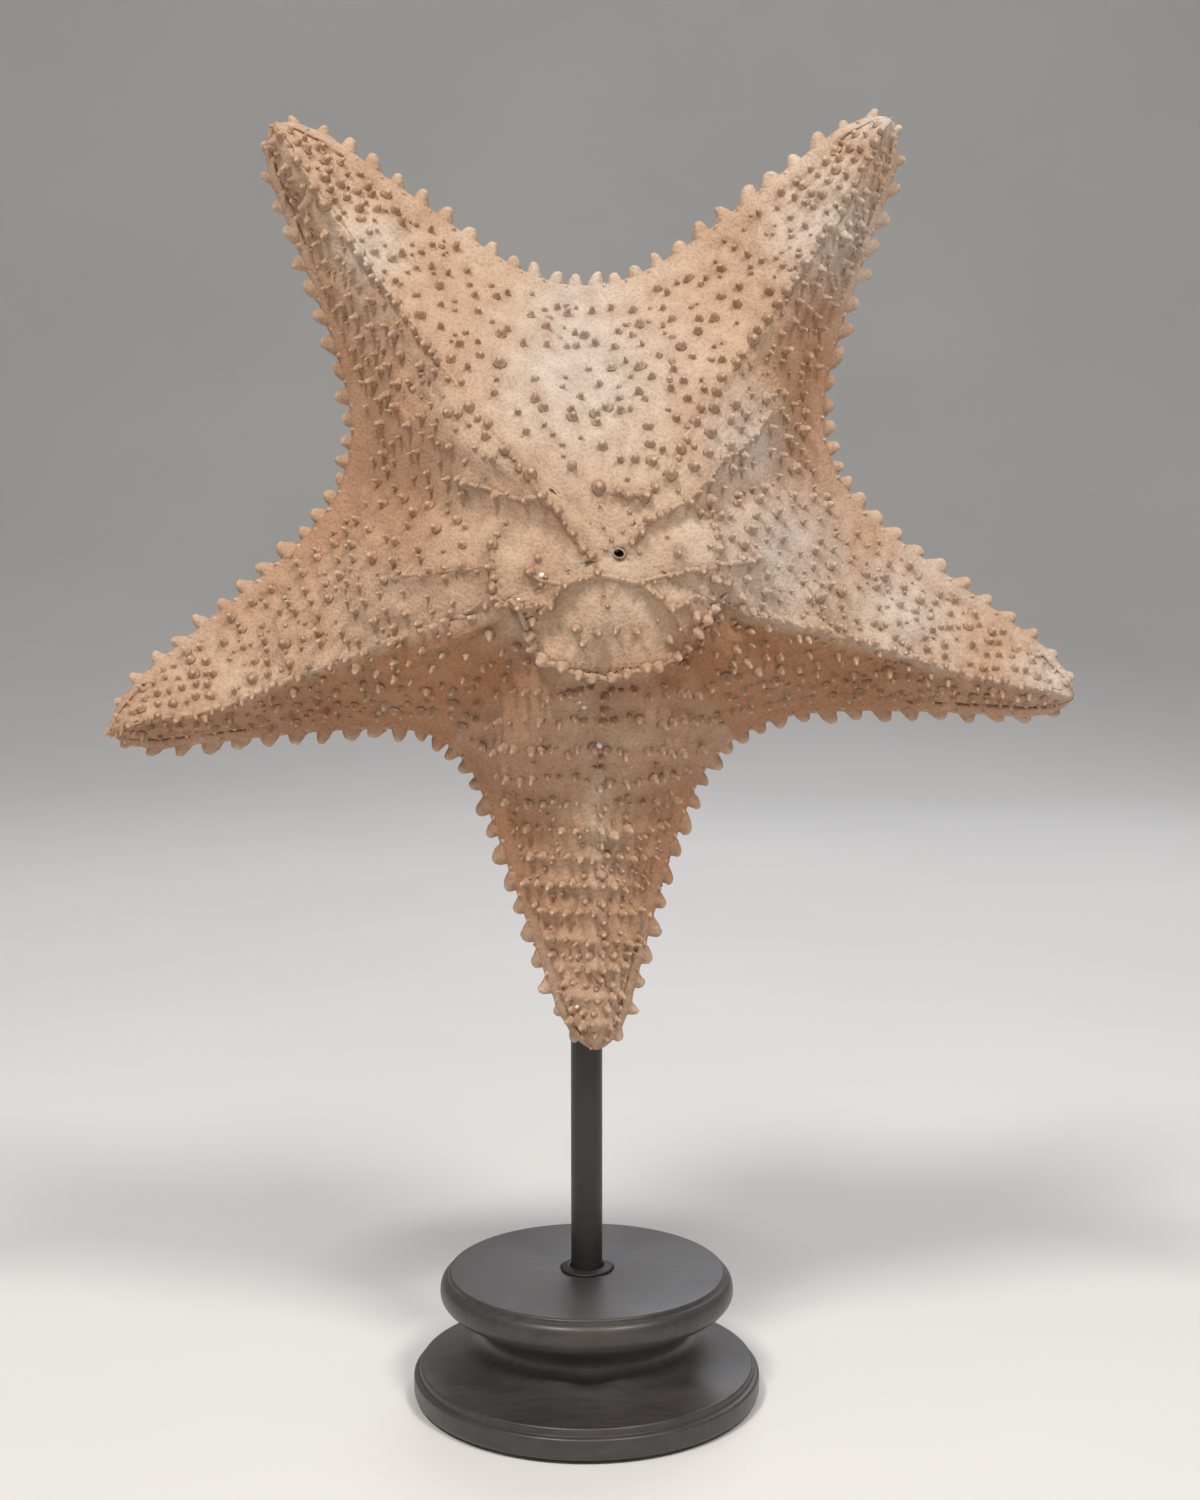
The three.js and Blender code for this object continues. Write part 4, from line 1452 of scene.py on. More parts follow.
@dataclass(frozen=True)
class DriedHide:
    """Sea star skin, dried on its plates: tough, matt hide with a fine paving of granules.

    The eye sees no gloss, a warm tan with painted shade in a redder brown on the lower sides, brown stains
    round the tubercles, and a paler dusty bloom where the hide has been rubbed and bleached.
    """

    tan: str = "#BE9F86"
    pale: str = "#D2BCA6"
    bloom: str = "#CFC6BC"
    # Redder brown: painted shade on the downward- and sideways-facing flanks and below the lip, and the
    # cones' own slight redness.
    flush: str = "#A66F48"
    stain: str = "#8F6647"
    under: str = "#BC9F80"
    # Pale cream on the tips of the cones: partly their own colour, partly painted highlight.
    lime: str = "#DCC8AE"
    # Near-black, painted into the vent's hollow as its shade.
    vent: str = "#1E140E"
    gap: str = "#A39283"
    dapple: str = "#E4DCD5"
    granule_size: float = 0.95  # real granules are 0.3 to 0.6 mm; drawn coarser so that they show

    def make(self) -> bpy.types.Material:
        """The material, on the skin's own attributes and Object coordinates."""
        finish = Finish("dried_star_hide")
        place = finish.place
        broad = finish.add(Kind.NOISE, {"Vector": place, "Scale": per_metre(38.0), "Detail": 5.0})
        mottle = finish.add(
            Kind.NOISE, {"Vector": place, "Scale": per_metre(7.0), "Detail": 6.0, "Roughness": 0.62}
        )
        tans = ((0.36, self.tan), (0.66, self.pale))
        colour = finish.add(Kind.RAMP, {"Fac": broad.outputs["Fac"]}, stops=tans).outputs["Color"]
        uneven = finish.add(
            Kind.RANGE,
            {"Value": mottle.outputs["Fac"], "From Min": 0.3, "From Max": 0.7, "To Min": 0.7, "To Max": 1.0},
        )
        for name, code, strength in (
            ("flush", self.flush, 0.95),
            ("under", self.under, 0.7),
            ("bloom", self.bloom, 0.9),
            ("stain", self.stain, 0.8),
            ("lime", self.lime, 0.8),
        ):
            mask = finish.add(Kind.TINT, attribute_name=name)
            share = finish.add(
                Kind.MATHS, {0: mask.outputs["Fac"], 1: uneven.outputs["Result"]}, operation="MULTIPLY"
            )
            limited = finish.add(
                Kind.MATHS, {0: share.outputs[0], 1: strength}, operation="MULTIPLY", use_clamp=True
            )
            mixed = finish.add(
                Kind.MIX,
                {MIX_SHARE: limited.outputs[0], MIX_FIRST: colour, MIX_SECOND: srgb(code)},
                data_type="RGBA",
            )
            colour = mixed.outputs[MIX_RESULT]
        granules = finish.add(
            Kind.CELLS,
            {"Vector": place, "Scale": per_metre(self.granule_size), "Randomness": 0.85},
            feature="SMOOTH_F1",
        )
        gap_stops = ((0.12, self.gap), (0.5, WHITE))
        gaps = finish.add(Kind.RAMP, {"Fac": granules.outputs["Distance"]}, stops=gap_stops)
        dapple_stops = ((0.3, self.dapple), (0.62, WHITE))
        dapple = finish.add(Kind.RAMP, {"Fac": mottle.outputs["Fac"]}, stops=dapple_stops)
        for share, darker in ((0.28, gaps), (0.8, dapple)):
            darkened = finish.add(
                Kind.MIX,
                {MIX_SHARE: share, MIX_FIRST: colour, MIX_SECOND: darker.outputs["Color"]},
                data_type="RGBA",
                blend_type="MULTIPLY",
            )
            colour = darkened.outputs[MIX_RESULT]
        # The vent's hollow is painted near-black as its shade.
        painted_hole_shade = finish.add(Kind.TINT, attribute_name="vent")
        final = finish.add(
            Kind.MIX,
            {MIX_SHARE: painted_hole_shade.outputs["Fac"], MIX_FIRST: colour, MIX_SECOND: srgb(self.vent)},
            data_type="RGBA",
        )
        wrinkles = finish.add(
            Kind.NOISE, {"Vector": place, "Scale": per_metre(2.4), "Detail": 4.0, "Roughness": 0.6}
        )
        lumps = finish.add(
            Kind.BUMP, {"Strength": 0.55, "Distance": 0.6 * MM, "Height": wrinkles.outputs["Fac"]}
        )
        paving = finish.add(
            Kind.BUMP,
            {
                "Strength": 0.8,
                "Distance": 0.35 * MM,
                "Height": granules.outputs["Distance"],
                "Normal": lumps.outputs["Normal"],
            },
        )
        dryness = finish.add(Kind.RANGE, {"Value": mottle.outputs["Fac"], "To Min": 0.72, "To Max": 0.95})
        return finish.surface(
            Base_Color=final.outputs[MIX_RESULT],
            Roughness=dryness.outputs["Result"],
            Specular_IOR_Level=0.22,
            Normal=paving.outputs["Normal"],
        )


@dataclass(frozen=True)
class EbonisedWood:
    """Turned wood stained black and waxed: satin, with tool lines round it and faint pores in the top."""

    black: str = "#3C3A39"
    rubbed: str = "#46413D"
    pore: str = "#9A9A9A"

    def make(self) -> bpy.types.Material:
        """The material, on Object coordinates about the turning axis."""
        finish = Finish("ebonised_turned_wood")
        stretched = finish.add(Kind.MAPPING, {"Vector": finish.place, "Scale": (0.12, 1.0, 0.35)})
        pores = finish.add(
            Kind.NOISE,
            {"Vector": stretched.outputs[0], "Scale": per_metre(1.5), "Detail": 5.0, "Roughness": 0.6},
        )
        cloud = finish.add(Kind.NOISE, {"Vector": finish.place, "Scale": per_metre(24.0), "Detail": 4.0})
        level = finish.add(Kind.MAPPING, {"Vector": finish.place, "Scale": (0.02, 0.02, 1.0)})
        lines = finish.add(Kind.NOISE, {"Vector": level.outputs[0], "Scale": per_metre(0.9), "Detail": 2.0})
        blacks = ((0.42, self.black), (0.78, self.rubbed))
        base = finish.add(Kind.RAMP, {"Fac": cloud.outputs["Fac"]}, stops=blacks)
        grain = finish.add(Kind.RAMP, {"Fac": pores.outputs["Fac"]}, stops=((0.35, self.pore), (0.6, WHITE)))
        colour = finish.add(
            Kind.MIX,
            {MIX_SHARE: 0.4, MIX_FIRST: base.outputs["Color"], MIX_SECOND: grain.outputs["Color"]},
            data_type="RGBA",
            blend_type="MULTIPLY",
        )
        gloss = finish.add(
            Kind.RANGE,
            {"Value": cloud.outputs["Fac"], "From Min": 0.3, "From Max": 0.7, "To Min": 0.38, "To Max": 0.52},
        )
        cut = finish.add(Kind.BUMP, {"Strength": 0.12, "Distance": 0.2 * MM, "Height": lines.outputs["Fac"]})
        open_pores = finish.add(
            Kind.BUMP,
            {
                "Strength": 0.18,
                "Distance": 0.3 * MM,
                "Height": pores.outputs["Fac"],
                "Normal": cut.outputs["Normal"],
            },
        )
        return finish.surface(
            Base_Color=colour.outputs[MIX_RESULT],
            Roughness=gloss.outputs["Result"],
            Specular_IOR_Level=0.5,
            Coat_Weight=0.25,
            Coat_Roughness=0.28,
            Normal=open_pores.outputs["Normal"],
        )


@dataclass(frozen=True)
class Coating:
    """A plain hard or soft coating: two close tones, a fine texture and one gloss."""

    name: str
    first: str
    second: str
    grain: float
    cloud: float
    rough: tuple[float, float]
    relief: float
    metallic: float = 0.0
    sheen: float = 0.0

    def make(self) -> bpy.types.Material:
        """The material: cloudy colour, grain bump, and roughness that follows the cloud."""
        finish = Finish(self.name)
        place = finish.place
        cloud = finish.add(Kind.NOISE, {"Vector": place, "Scale": per_metre(self.cloud), "Detail": 5.0})
        grain = finish.add(Kind.NOISE, {"Vector": place, "Scale": per_metre(self.grain), "Detail": 3.0})
        tones = ((0.35, self.first), (0.68, self.second))
        base = finish.add(Kind.RAMP, {"Fac": cloud.outputs["Fac"]}, stops=tones)
        least, most = self.rough
        gloss = finish.add(
            Kind.RANGE,
            {
                "Value": cloud.outputs["Fac"],
                "From Min": 0.3,
                "From Max": 0.7,
                "To Min": least,
                "To Max": most,
            },
        )
        depth = self.relief * MM
        bump = finish.add(Kind.BUMP, {"Strength": 0.5, "Distance": depth, "Height": grain.outputs["Fac"]})
        return finish.surface(
            Base_Color=base.outputs["Color"],
            Roughness=gloss.outputs["Result"],
            Metallic=self.metallic,
            Sheen_Weight=self.sheen,
            Normal=bump.outputs["Normal"],
        )


# Brushed-on stand enamel: black, satin, with a soft orange-peel surface.
ROD_ENAMEL = Coating("brushed_black_enamel", "#242120", "#332E2B", 1.4, 16.0, (0.32, 0.45), 0.06)
# Black-stained wax filler: pressed in by hand, duller and lumpier than the wood round it.
WAX_FILLER = Coating("black_wax_filler", "#1A1817", "#2B2724", 1.8, 5.0, (0.5, 0.65), 0.25)
# Casting resin, set rough against the furrow: brown, half dull.
CAST_RESIN = Coating("brown_casting_resin", "#3E3023", "#57452F", 2.2, 8.0, (0.3, 0.5), 0.3)
# Zinc-plated steel hardware: grey, with a cloudy passivated bloom.
ZINC_PLATE = Coating("zinc_plated_steel", "#8E8F8F", "#B0B1AE", 0.8, 5.0, (0.32, 0.5), 0.03, metallic=1.0)
# Pressed wool felt: dark green, soft, with a fuzz that shows at a glancing angle. Fibres drawn at 0.8 mm.
WOOL_FELT = Coating("pressed_wool_felt", "#1C2A20", "#2A3A2D", 0.8, 6.0, (0.95, 1.0), 0.35, sheen=0.4)
# Bare broken lime: chalky white, slightly glassy where it broke.
LIME_CRUMB = Coating("broken_lime", "#E6E0D8", "#F6F3EE", 0.5, 2.0, (0.35, 0.6), 0.2)
# Studio paper: matt and nearly white.
STUDIO_PAPER = Coating("studio_paper", "#DDDCDA", "#E2E1DF", 3.0, 400.0, (0.9, 0.95), 0.01)


# ------------------------------------------------------------------ putting the star together


def settle(piece: bpy.types.Object, material: bpy.types.Material, slot: str, *nodes: str) -> None:
    """Dresses a piece, seats it on the body and hides the nodes that it replaces."""
    piece.data.materials.append(material)
    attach(piece, BODY)
    if nodes:
        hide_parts(*nodes)
    triangles = sum(len(polygon.vertices) - 2 for polygon in piece.data.polygons)
    LOG.info("%s: %d triangles, %s", piece.name, triangles, material.name)


@dataclass
class SeaStar:
    """The dried sea star: skin, tubercles, marginal spines and furrow spines, grown as one piece."""

    seat: StarSeat
    form: StarForm = field(default_factory=StarForm)
    net: DiscNet = field(default_factory=DiscNet)
    # Bleached patches: (right, up) of the middle, and the radius over which each fades.
    bleached: tuple[tuple[float, float, float], ...] = (
        (0.0, 52.0, 26.0), (-4.0, 72.0, 16.0), (46.0, 30.0, 15.0), (-62.0, 86.0, 8.0), (58.0, 0.0, 24.0),
        (96.0, -18.0, 20.0), (72.0, 92.0, 18.0), (88.0, 130.0, 14.0), (140.0, -38.0, 12.0),
    )
    # Redder patches, partly the hide's own redness and partly painted shade, as on the disc's left panel:
    # (right, up) of the middle, radius and strength.
    tanned: tuple[tuple[float, float, float, float], ...] = (
        (-34.0, 3.0, 24.0, 0.27), (-15.0, 3.0, 12.0, 0.25), (26.0, -2.0, 12.0, 0.16),
        (-40.0, 62.0, 22.0, 0.16), (56.0, 96.0, 16.0, 0.2),
    )
    # White specks: (right, up) and radius.
    broken_caps: tuple[tuple[float, float, float], ...] = (
        (-12.5, -7.7, 0.85), (-18.5, -14.7, 0.6), (-1.7, -44.0, 0.5), (-0.5, -46.0, 0.8),
        (1.0, -47.0, 0.6), (4.4, -56.3, 1.2), (-2.7, -139.5, 0.8), (-133.0, -7.5, 0.7),
    )

    # Cones of unit size: (radius, height) of each ring. Tubercles flare into the skin round them.
    large_cone: StudShape = StudShape(
        8, ((1.5, -0.22), (1.12, 0.06), (0.92, 0.3), (0.78, 0.56), (0.56, 0.8), (0.3, 0.96))
    )
    small_cone: StudShape = StudShape(6, ((1.4, -0.25), (0.92, 0.25), (0.5, 0.84)))
    finger: StudShape = StudShape(
        12,
        ((1.32, 0.02), (1.2, 0.24), (1.03, 0.44), (0.86, 0.62), (0.69, 0.79), (0.47, 0.93), (0.25, 0.985)),
        -0.1,
    )
    small_radius: float = 0.72

    def build(self) -> None:
        """Builds the relief, then every stud on the relieved skin, and dresses them all."""
        skin = StarSkin(self.form, self.net)
        grid = skin.grid()
        smooth_normals = vertex_normals(grid.points, grid.faces)
        tubercles = Tubercles(skin, grid, smooth_normals).all()
        fringe = MarginFringe(self.form)
        spines, lesser = fringe.large(), fringe.small()
        resin_low, resin_high = (z - self.seat.centre_height for z in heights_of("resin_bed"))
        comb = FurrowSpines(self.form, resin_low - 2.0, resin_high + 2.0).all()
        rise, ridge = skin.relief(grid)
        swelling, stain = skin.swell(grid.points, Studs.joined([tubercles, spines]))
        points = grid.points + (rise + swelling)[:, None] * smooth_normals
        hide = mesh_object("star_hide", self.seat.world(points), grid.faces)
        for name, values in self.tints(grid, ridge, stain).items():
            add_value(hide, name, values)
        dried = DriedHide().make()
        settle(hide, dried, "star_skin", "starfish")
        welts = Welts(skin, grid, smooth_normals, Studs.joined([tubercles, spines]))
        settle(welts.mesh("star_welts", self.seat, self.tints), dried, "star_skin", "starfish")
        self.stand_up(tubercles, grid, points)
        big = tubercles.radii > self.small_radius
        for name, shape, studs, seed in (
            ("star_tubercles", self.large_cone, tubercles.chosen(big), 51),
            ("star_small_tubercles", self.small_cone, tubercles.chosen(~big), 52),
            ("star_margin_spines", self.finger, spines, 53),
            ("star_lesser_spines", self.small_cone, lesser, 54),
            ("star_furrow_spines", self.small_cone, comb, 55),
        ):
            near = nearest(studs.places, grid.points)
            tints = self.tints(grid.at(near, grid.points[near]), np.zeros(len(near)), studs.stain)
            tints["stain"] = tints["stain"] * (0.36 + 0.26 * studs.tones) * (1.0 - 0.8 * tints["flush"])
            # The large spines keep more of the skin's painted shade and redness, and all the other cones are
            # a little red of their own.
            kept, least = (0.8, 0.0) if shape is self.finger else (0.5, 0.34)
            tints["flush"] = np.maximum(tints["flush"] * kept, least)
            settle(shape.mesh(name, studs, self.seat, seed, tints), dried, "star_skin", "starfish")
        settle(self.vent(grid, points), dried, "star_skin", "starfish")
        settle(self.crumbs(points), LIME_CRUMB.make(), "star_skin", "starfish")

    def stand_up(self, studs: Studs, grid: SkinGrid, points: Array) -> None:
        """Moves the studs' feet from the smooth body to the relieved skin, and turns them to its normals."""
        normals = vertex_normals(points, grid.faces)
        near = nearest(studs.places, grid.points)
        studs.places[:] = points[near]
        studs.ups[:] = unit(0.6 * studs.ups + 0.4 * normals[near])

    def vent(self, grid: SkinGrid, points: Array) -> bpy.types.Object:
        """The vent: an oval cup with a soft rim, let into the hide's hollow, its inside painted near-black as
        shade.
        """
        sides = 24
        outside = [(0.0, -2.6), (1.5, -1.9), (2.1, -0.4), (1.85, 0.08), (1.6, 0.16)]
        cup_side = [(1.42, 0.0), (1.25, -0.6), (0.8, -1.3), (0.0, -1.6)]
        profile = np.array(outside + cup_side)
        turn = turns(sides)
        near = nearest(np.array([[*self.net.vent, self.form.apex_height]]), grid.points)
        # The rim stands level with the skin a few millimetres off, where the hollow has ended.
        gap = grid.gap(*self.net.vent)
        around = (gap > 2.4) & (gap < 4.0) & (grid.share > 0.5)
        normals = vertex_normals(grid.points, grid.faces)
        up = unit(normals[near[0]])
        height = ((points[around] - points[near[0]]) @ up).mean()
        aside = unit(np.cross(up, [0.35, 1.0, 0.0]))
        ahead = np.cross(up, aside)
        foot = points[near[0]] + up * height
        ring = (
            foot
            + (profile[:, 0] * np.cos(turn) * 0.98)[..., None] * aside
            + (profile[:, 0] * np.sin(turn) * 0.72)[..., None] * ahead
            + np.broadcast_to(profile[:, 1], (sides, len(profile)))[..., None] * up
        )
        faces = grid_faces(sides, len(profile), wrap_rows=True)[:, ::-1]
        joined, back, first = merged(ring.reshape(-1, 3))
        cup = mesh_object("star_vent", self.seat.world(joined), back[faces])
        inside = np.tile(np.arange(len(profile)) >= len(outside), sides)[first]
        # The cup's inside is marked for the near-black painted shade.
        add_value(cup, "vent", 1.0 * inside)
        add_value(cup, "stain", np.full(len(joined), 0.5))
        return cup

    def crumbs(self, points: Array) -> bpy.types.Object:
        """White crumbs of bare lime where a tubercle's cap has broken off, each a rough closed lump."""
        rng = np.random.default_rng(61)
        places, faces, total = [], [], 0
        rings, sides = 5, 8
        polar = np.linspace(0.0, math.pi, rings)[None]
        turn = turns(sides)
        east, north = np.sin(polar) * np.cos(turn), np.sin(polar) * np.sin(turn)
        ball = np.stack(np.broadcast_arrays(east, north, -np.cos(polar)), axis=-1)
        front = points[:, 2] > 4.0
        for right, up, size in self.broken_caps:
            gap = np.hypot(points[:, 0] - right, points[:, 1] - up) + 99.0 * ~front
            lump = ball * rng.uniform(0.75, 1.15, (sides, rings, 1)) * size
            lump[:, [0, -1]] = lump[:1, [0, -1]]
            places.append((lump + points[gap.argmin()]).reshape(-1, 3))
            faces.append(grid_faces(sides, rings, wrap_rows=True)[:, ::-1] + total)
            total += sides * rings
        joined, back, _ = merged(np.concatenate(places))
        corners = back[np.concatenate(faces)]
        return mesh_object("star_lime_crumbs", self.seat.world(joined), corners, shade_smooth=False)

    def tints(self, grid: SkinGrid, ridge: Array, stain: Array) -> Tints:
        """Where the hide is bleached, stained and redder, where shade is painted on, and which side is the
        under side.

        Bleached patches are Gaussians. The painted shade is on the flanks that face the two lowest notches.
        """
        patches = [bell(grid.gap(right, up), size) for right, up, size in self.bleached]
        arms, notches = self.form.arms_and_notches(grid.half)
        # Painted shade: full on the flanks facing the two lowest notches, fainter on the sideways flanks
        # beside them.
        flush = np.select([np.isin(notches, (2, 3)), np.isin(notches, (1, 4))], [0.9, 0.62], 0.0)
        # The painted shade is weaker on the middle of the lower arm's front than on its sides.
        middle = 0.58 + 0.42 * smooth(grid.across / 30.0) - 0.34 * bell(grid.x - 56.0, 17.0)
        skin = StarSkin(self.form, self.net)
        flush = flush * np.where(arms == skin.lower_arm, middle, 1.0)
        lower = np.isin(notches, (2, 3))
        # How far down a flank the painted shade reaches: from just below the crest on the two lowest notches.
        low = np.where(lower, smooth((1.0 - grid.share) / 0.22), np.clip(1.1 - grid.share, 0.0, 1.0) ** 1.3)
        low = low * (1.0 - 0.6 * grid.under) * (1.0 - 0.45 * smooth((grid.x - 80.0) / 50.0))
        low = low * smooth((grid.gap() - 24.0) / 22.0)
        # Painted shade also falls just below the lip's edge.
        below_lip = skin.lip_step(grid.plan)
        tanned = [share * bell(grid.gap(right, up), size) for right, up, size, share in self.tanned]
        # The net's ridges are brown, but not where the flank below them carries the painted shade.
        brown = 0.66 * ridge**0.95 * (grid.gap() < 50.0) * ~(lower * (low > 0.5))
        return {
            "bloom": np.clip(np.max(patches, axis=0) - 0.3 * ridge, 0.0, 1.0) * (1.0 - lower * low),
            "flush": np.max([flush * low, 0.3 * smooth(below_lip / 0.6), *tanned], axis=0),
            "stain": np.maximum(stain, brown) * (1.0 - grid.under),
            "under": grid.under,
            # The skin round the vent takes the same near-black painted shade.
            "vent": bell(grid.gap(*self.net.vent), 1.3) * (grid.share > 0.5),
        }


# ------------------------------------------------------------------ the stand


def bezier(start: tuple, first: tuple, second: tuple, end: tuple, steps: int = 14) -> Array:
    """Points of a cubic Bezier curve after its start: the four corners weighted by Bernstein's shares."""
    t = np.linspace(0.0, 1.0, steps + 1)[1:, None]
    corners = [np.array(corner, float) for corner in (start, first, second, end)]
    shares = ((1 - t) ** 3, 3 * t * (1 - t) ** 2, 3 * t**2 * (1 - t), t**3)
    return sum(share * corner for share, corner in zip(shares, corners))


@dataclass(frozen=True)
class TurnedStand:
    """The stand: a turned foot bored for the rod, the rod, a ring of filler round it, and felt below."""

    bore: float = 5.3
    thread_hole: float = 4.2
    counterbore: float = 11.0
    counterbore_roof: float = 15.0
    shoulder: float = 24.0
    thread_radius: float = 3.9
    sides: int = 160

    def foot_profile(self) -> Array:
        """The foot's section: plinth, stepped edge, flare, cove, top plate, then down the bore."""
        low, high = heights_of("turned_base")
        edge = rounded_profile(
            [
                (self.counterbore, low, 0),
                (54.9, low, 0.5),
                (55.4, low + 1.2, 0.6),
                (55.4, 8.0, 0.9), (53.6, 8.3, 0.2), (53.4, 10.6, 0.8), (52.0, 10.65, 0),
            ]
        )
        flare = bezier((52.0, 10.65), (42.5, 11.8), (34.0, 14.5), (33.2, 20.5))
        cove = bezier((33.2, 20.5), (33.0, 24.2), (36.4, 26.2), (40.6, 28.2))
        swell = bezier((40.6, 28.2), (44.6, 30.0), (46.9, 31.8), (46.9, 34.4), 8)
        shoulder = bezier((46.9, 34.4), (46.9, 37.0), (46.2, 38.4), (44.9, 39.0), 8)
        rim = rounded_profile(
            [
                (44.9, 39.0, 0), (44.4, 39.2, 0.15), (44.2, 40.2, 0.3),
                (43.5, high, 0.3),
                (self.bore + 0.5, high, 0.1),
                (self.bore, high - 0.5, 0.1),
                (self.bore, self.shoulder - 0.3, 0),
                (self.thread_hole, self.shoulder - 0.3, 0),
                (self.thread_hole, self.counterbore_roof, 0),
                (self.counterbore, self.counterbore_roof, 0),
                (self.counterbore, low, 0),
            ],
            4,
        )
        return np.concatenate([edge, flare, cove, swell, shoulder, rim[1:]])

    def build_foot(self) -> bpy.types.Object:
        """The turned foot, with a slight unevenness of its radius, as a hand-turned one has."""
        profile = self.foot_profile()
        turn = turns(self.sides)
        outside = profile[:, 0] > self.counterbore + 1.0
        wobble = 0.06 * np.sin(2.0 * turn + 0.7) * np.sin(profile[:, 1] / 9.0) * outside
        return turned_mesh("turned_foot", profile, self.sides, wobble)

    def build_rod(self) -> bpy.types.Object:
        """The rod, with a shoulder and a threaded end: the thread is a row of fine grooves."""
        low, high = heights_of("stand_rod")
        radius = (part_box("stand_rod")[1].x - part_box("stand_rod")[0].x) / MM / 2
        pitch, depth = 1.25, 0.35
        threads = np.arange(low + 0.8, self.shoulder - 1.2, pitch)
        crests = np.stack([np.full_like(threads, self.thread_radius), threads], axis=1)
        roots = np.stack([np.full_like(threads, self.thread_radius - depth), threads + pitch / 2], axis=1)
        grooved = np.stack([crests, roots], axis=1).reshape(-1, 2)
        start = np.array([[0.0, low], [self.thread_radius - 0.5, low]])
        shank = rounded_profile(
            [
                (self.thread_radius, self.shoulder - 0.3, 0),
                (self.thread_radius, self.shoulder, 0),
                (radius, self.shoulder, 0.2),
                (radius, high, 0.8),
                (0.0, high, 0),
            ]
        )
        return turned_mesh("painted_rod", np.concatenate([start, grooved, shank]), 64)

    def build_collar(self) -> bpy.types.Object:
        """The ring of filler, pressed down by hand: its outline wanders by a fraction of a millimetre."""
        low, high = heights_of("rod_collar")
        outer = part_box("rod_collar")[1].x / MM
        thickness = high - low
        profile = np.array(
            [
                (self.bore, low),
                (outer - 0.2, low),
                (outer - 0.1, low + 0.12),
                (outer - 0.9, low + thickness * 0.5),
                (outer - 2.0, low + thickness * 0.8),
                (self.bore + 0.8, high),
                (self.bore, high),
                (self.bore, low),
            ]
        )
        sides = 72
        turn = turns(sides)
        wander = 0.2 * np.sin(3.0 * turn + 1.0) + 0.13 * np.sin(7.0 * turn) - 0.3
        return turned_mesh("filler_ring", profile, sides, wander * (profile[:, 0] > self.bore + 1.0))

    def build_felt(self) -> bpy.types.Object:
        """The felt disc, with a soft cut edge that wanders a little."""
        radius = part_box("felt_pad")[1].x / MM
        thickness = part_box("felt_pad")[1].z / MM
        profile = rounded_profile(
            [(0, 0, 0), (radius, 0, 0.25), (radius, thickness, 0.25), (0, thickness, 0)]
        )
        sides = 120
        turn = turns(sides)
        wander = -0.1 + 0.1 * np.sin(5.0 * turn) * np.sin(11.0 * turn + 1.0)
        return turned_mesh("felt_disc", profile, sides, wander * (profile[:, 0] > radius - 1.0))

    def build(self) -> None:
        """Makes and dresses the stand's pieces, and dresses the hardware and resin kept from the frame."""
        settle(self.build_foot(), EbonisedWood().make(), "ebonised_wood", "turned_base")
        settle(self.build_rod(), ROD_ENAMEL.make(), "rod_paint", "stand_rod")
        settle(self.build_collar(), WAX_FILLER.make(), "filler", "rod_collar")
        settle(self.build_felt(), WOOL_FELT.make(), "felt", "felt_pad")
        zinc = ZINC_PLATE.make()
        for node, material in (("rod_washer", zinc), ("rod_nut", zinc), ("resin_bed", CAST_RESIN.make())):
            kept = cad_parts[node]
            kept.data.materials.clear()
            kept.data.materials.append(material)
            LOG.info("%s: kept, %s", node, material.name)


# ------------------------------------------------------------------ the studio


@dataclass(frozen=True)
class Lamp:
    """An area lamp, in metres from the star's centre."""

    name: str
    offset: tuple[float, float, float]
    size: float
    watts: float
    colour: str

    def hang(self, target: Vector) -> None:
        """Makes the lamp and turns it to the target."""
        data = bpy.data.lights.new(self.name, "AREA")
        data.shape = "DISK"
        data.size = self.size
        data.energy = self.watts
        data.color = srgb(self.colour)[:3]
        lamp = bpy.data.objects.new(self.name, data)
        bpy.context.scene.collection.objects.link(lamp)
        lamp.location = target + Vector(self.offset)
        lamp.rotation_euler = (-Vector(self.offset)).to_track_quat("-Z", "Y").to_euler()


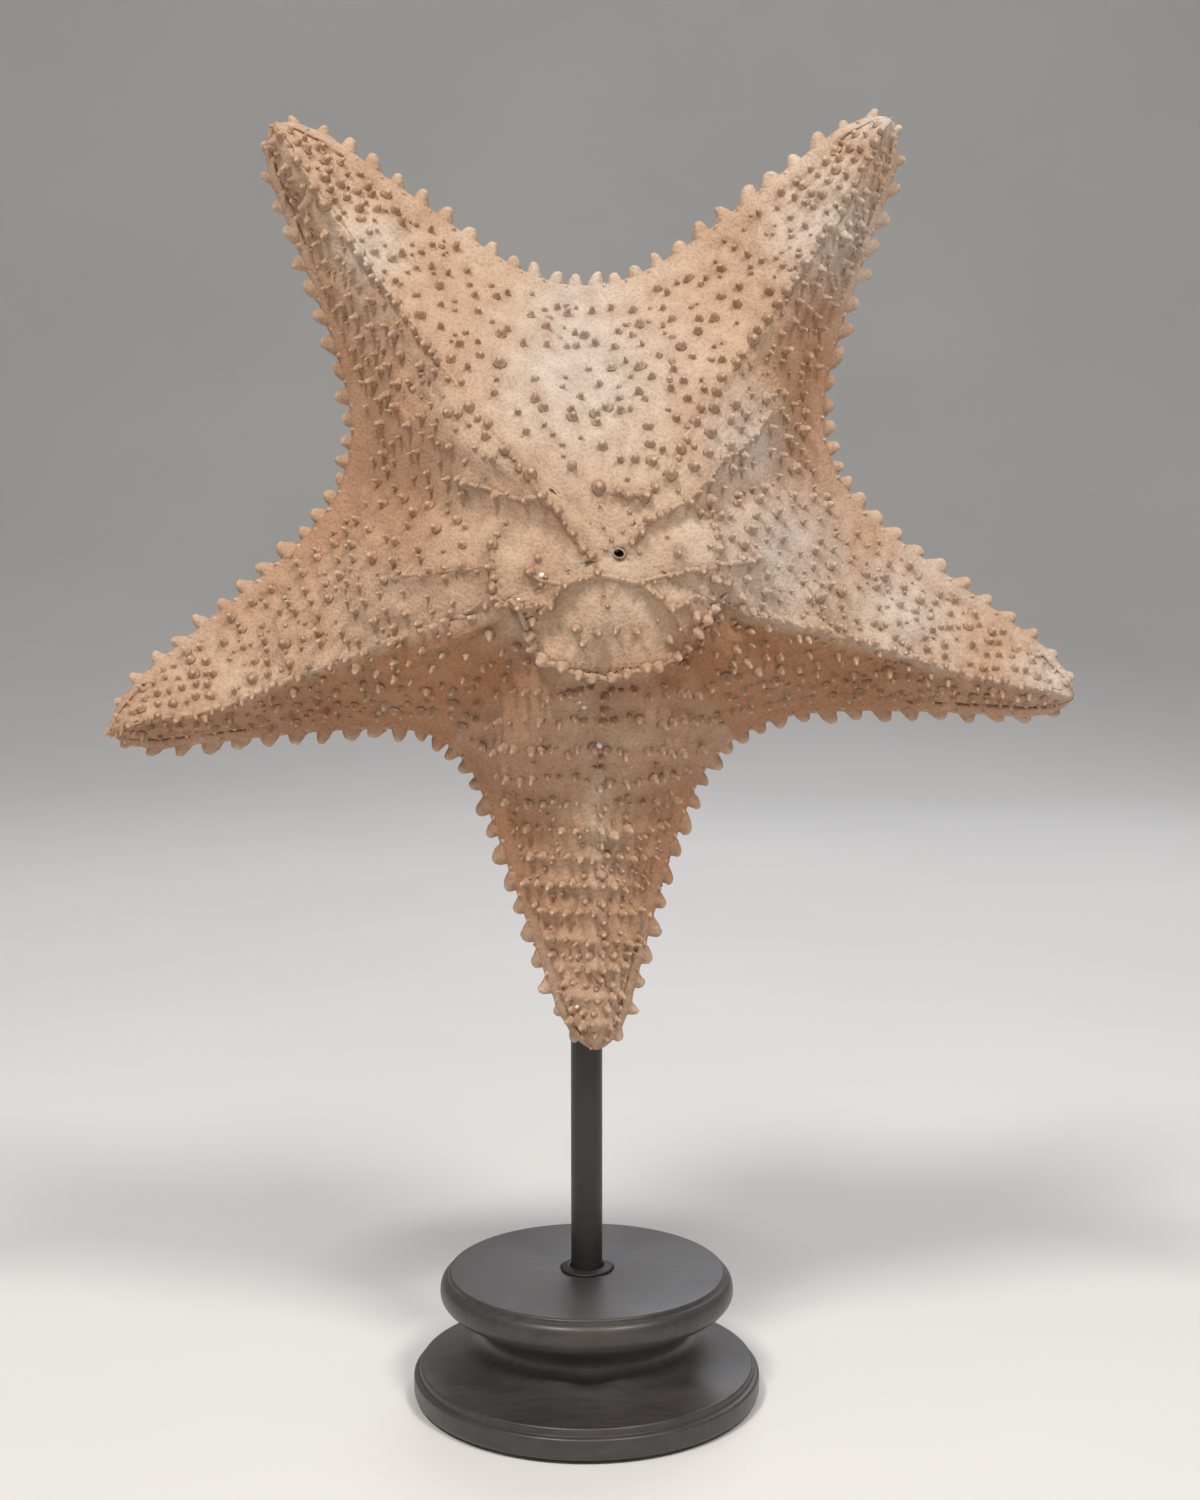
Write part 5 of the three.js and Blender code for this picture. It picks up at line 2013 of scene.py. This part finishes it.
@dataclass(frozen=True)
class Studio:
    """Camera, floor and soft light."""

    seat: StarSeat
    lens: float = 50.0
    sensor: float = 36.0
    camera_back: float = 647.2
    camera_right: float = 4.25
    camera_above: float = 4.2
    pitch_down: float = 5.93
    floor_front: float = -4.0
    sweep_start: float = 1.5
    sweep_radius: float = 1.6
    sweep_top: float = 5.0
    half_width: float = 5.0
    world: str = "#DFE1E4"
    world_strength: float = 0.26
    lamps: tuple[Lamp, ...] = (
        Lamp("key_left", (-0.55, -1.0, 1.42), 0.4, 22.0, "#FFFAF4"),
        Lamp("key_right", (0.7, -0.95, 1.38), 0.4, 17.5, "#FFFAF4"),
        Lamp("front_fill", (0.2, -1.8, -0.05), 1.2, 2.5, "#FFEBD6"),
        Lamp("back_glow", (0.3, 1.3, 1.0), 1.2, 9.0, "#F4F6FF"),
    )

    def set_camera(self) -> None:
        """A camera before the star, looking slightly down at it."""
        data = bpy.data.cameras.new("camera")
        data.lens = self.lens
        data.sensor_width = self.sensor
        data.clip_start, data.clip_end = 0.01, 50.0
        camera = bpy.data.objects.new("camera", data)
        bpy.context.scene.collection.objects.link(camera)
        height = self.seat.centre_height + self.camera_above
        camera.location = Vector((self.camera_right, -self.camera_back, height)) * MM
        camera.rotation_euler = (math.radians(90.0 - self.pitch_down), 0.0, 0.0)
        bpy.context.scene.camera = camera

    def lay_floor(self) -> None:
        """A pale sheet that lies flat below the felt and sweeps up far behind, in a quarter circle."""
        turn = np.linspace(0.0, math.pi / 2, 24)
        y = np.concatenate([[self.floor_front], self.sweep_start + self.sweep_radius * np.sin(turn)])
        z = np.concatenate([[0.0], self.sweep_radius * (1.0 - np.cos(turn))])
        y, z = np.append(y, y[-1]), np.append(z, self.sweep_top)
        x = np.array([-self.half_width, self.half_width])
        points = np.stack(np.broadcast_arrays(x[None], y[:, None], z[:, None]), axis=-1).reshape(-1, 3)
        floor = mesh_object("studio_floor", points, grid_faces(len(y), 2))
        floor.data.materials.append(STUDIO_PAPER.make())

    def light(self) -> None:
        """An even pale surround and the soft lamps."""
        scene = bpy.context.scene
        scene.view_settings.view_transform = "Standard"
        scene.world = scene.world or bpy.data.worlds.new("surround")
        scene.world.use_nodes = True
        surround = scene.world.node_tree.nodes["Background"]
        surround.inputs["Color"].default_value = srgb(self.world)
        surround.inputs["Strength"].default_value = self.world_strength
        target = Vector((0.0, 0.0, self.seat.centre_height * MM))
        for lamp in self.lamps:
            lamp.hang(target)

    def build(self) -> None:
        """Sets up camera, floor and light."""
        self.set_camera()
        self.lay_floor()
        self.light()


# ------------------------------------------------------------------ the whole


def main() -> None:
    """Builds the star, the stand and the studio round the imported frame."""
    logging.basicConfig(level=logging.INFO, format="%(name)s: %(message)s")
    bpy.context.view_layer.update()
    seat = StarSeat.from_frame()
    Studio(seat).build()
    TurnedStand().build()
    SeaStar(seat).build()


if __name__ == "__main__":
    main()
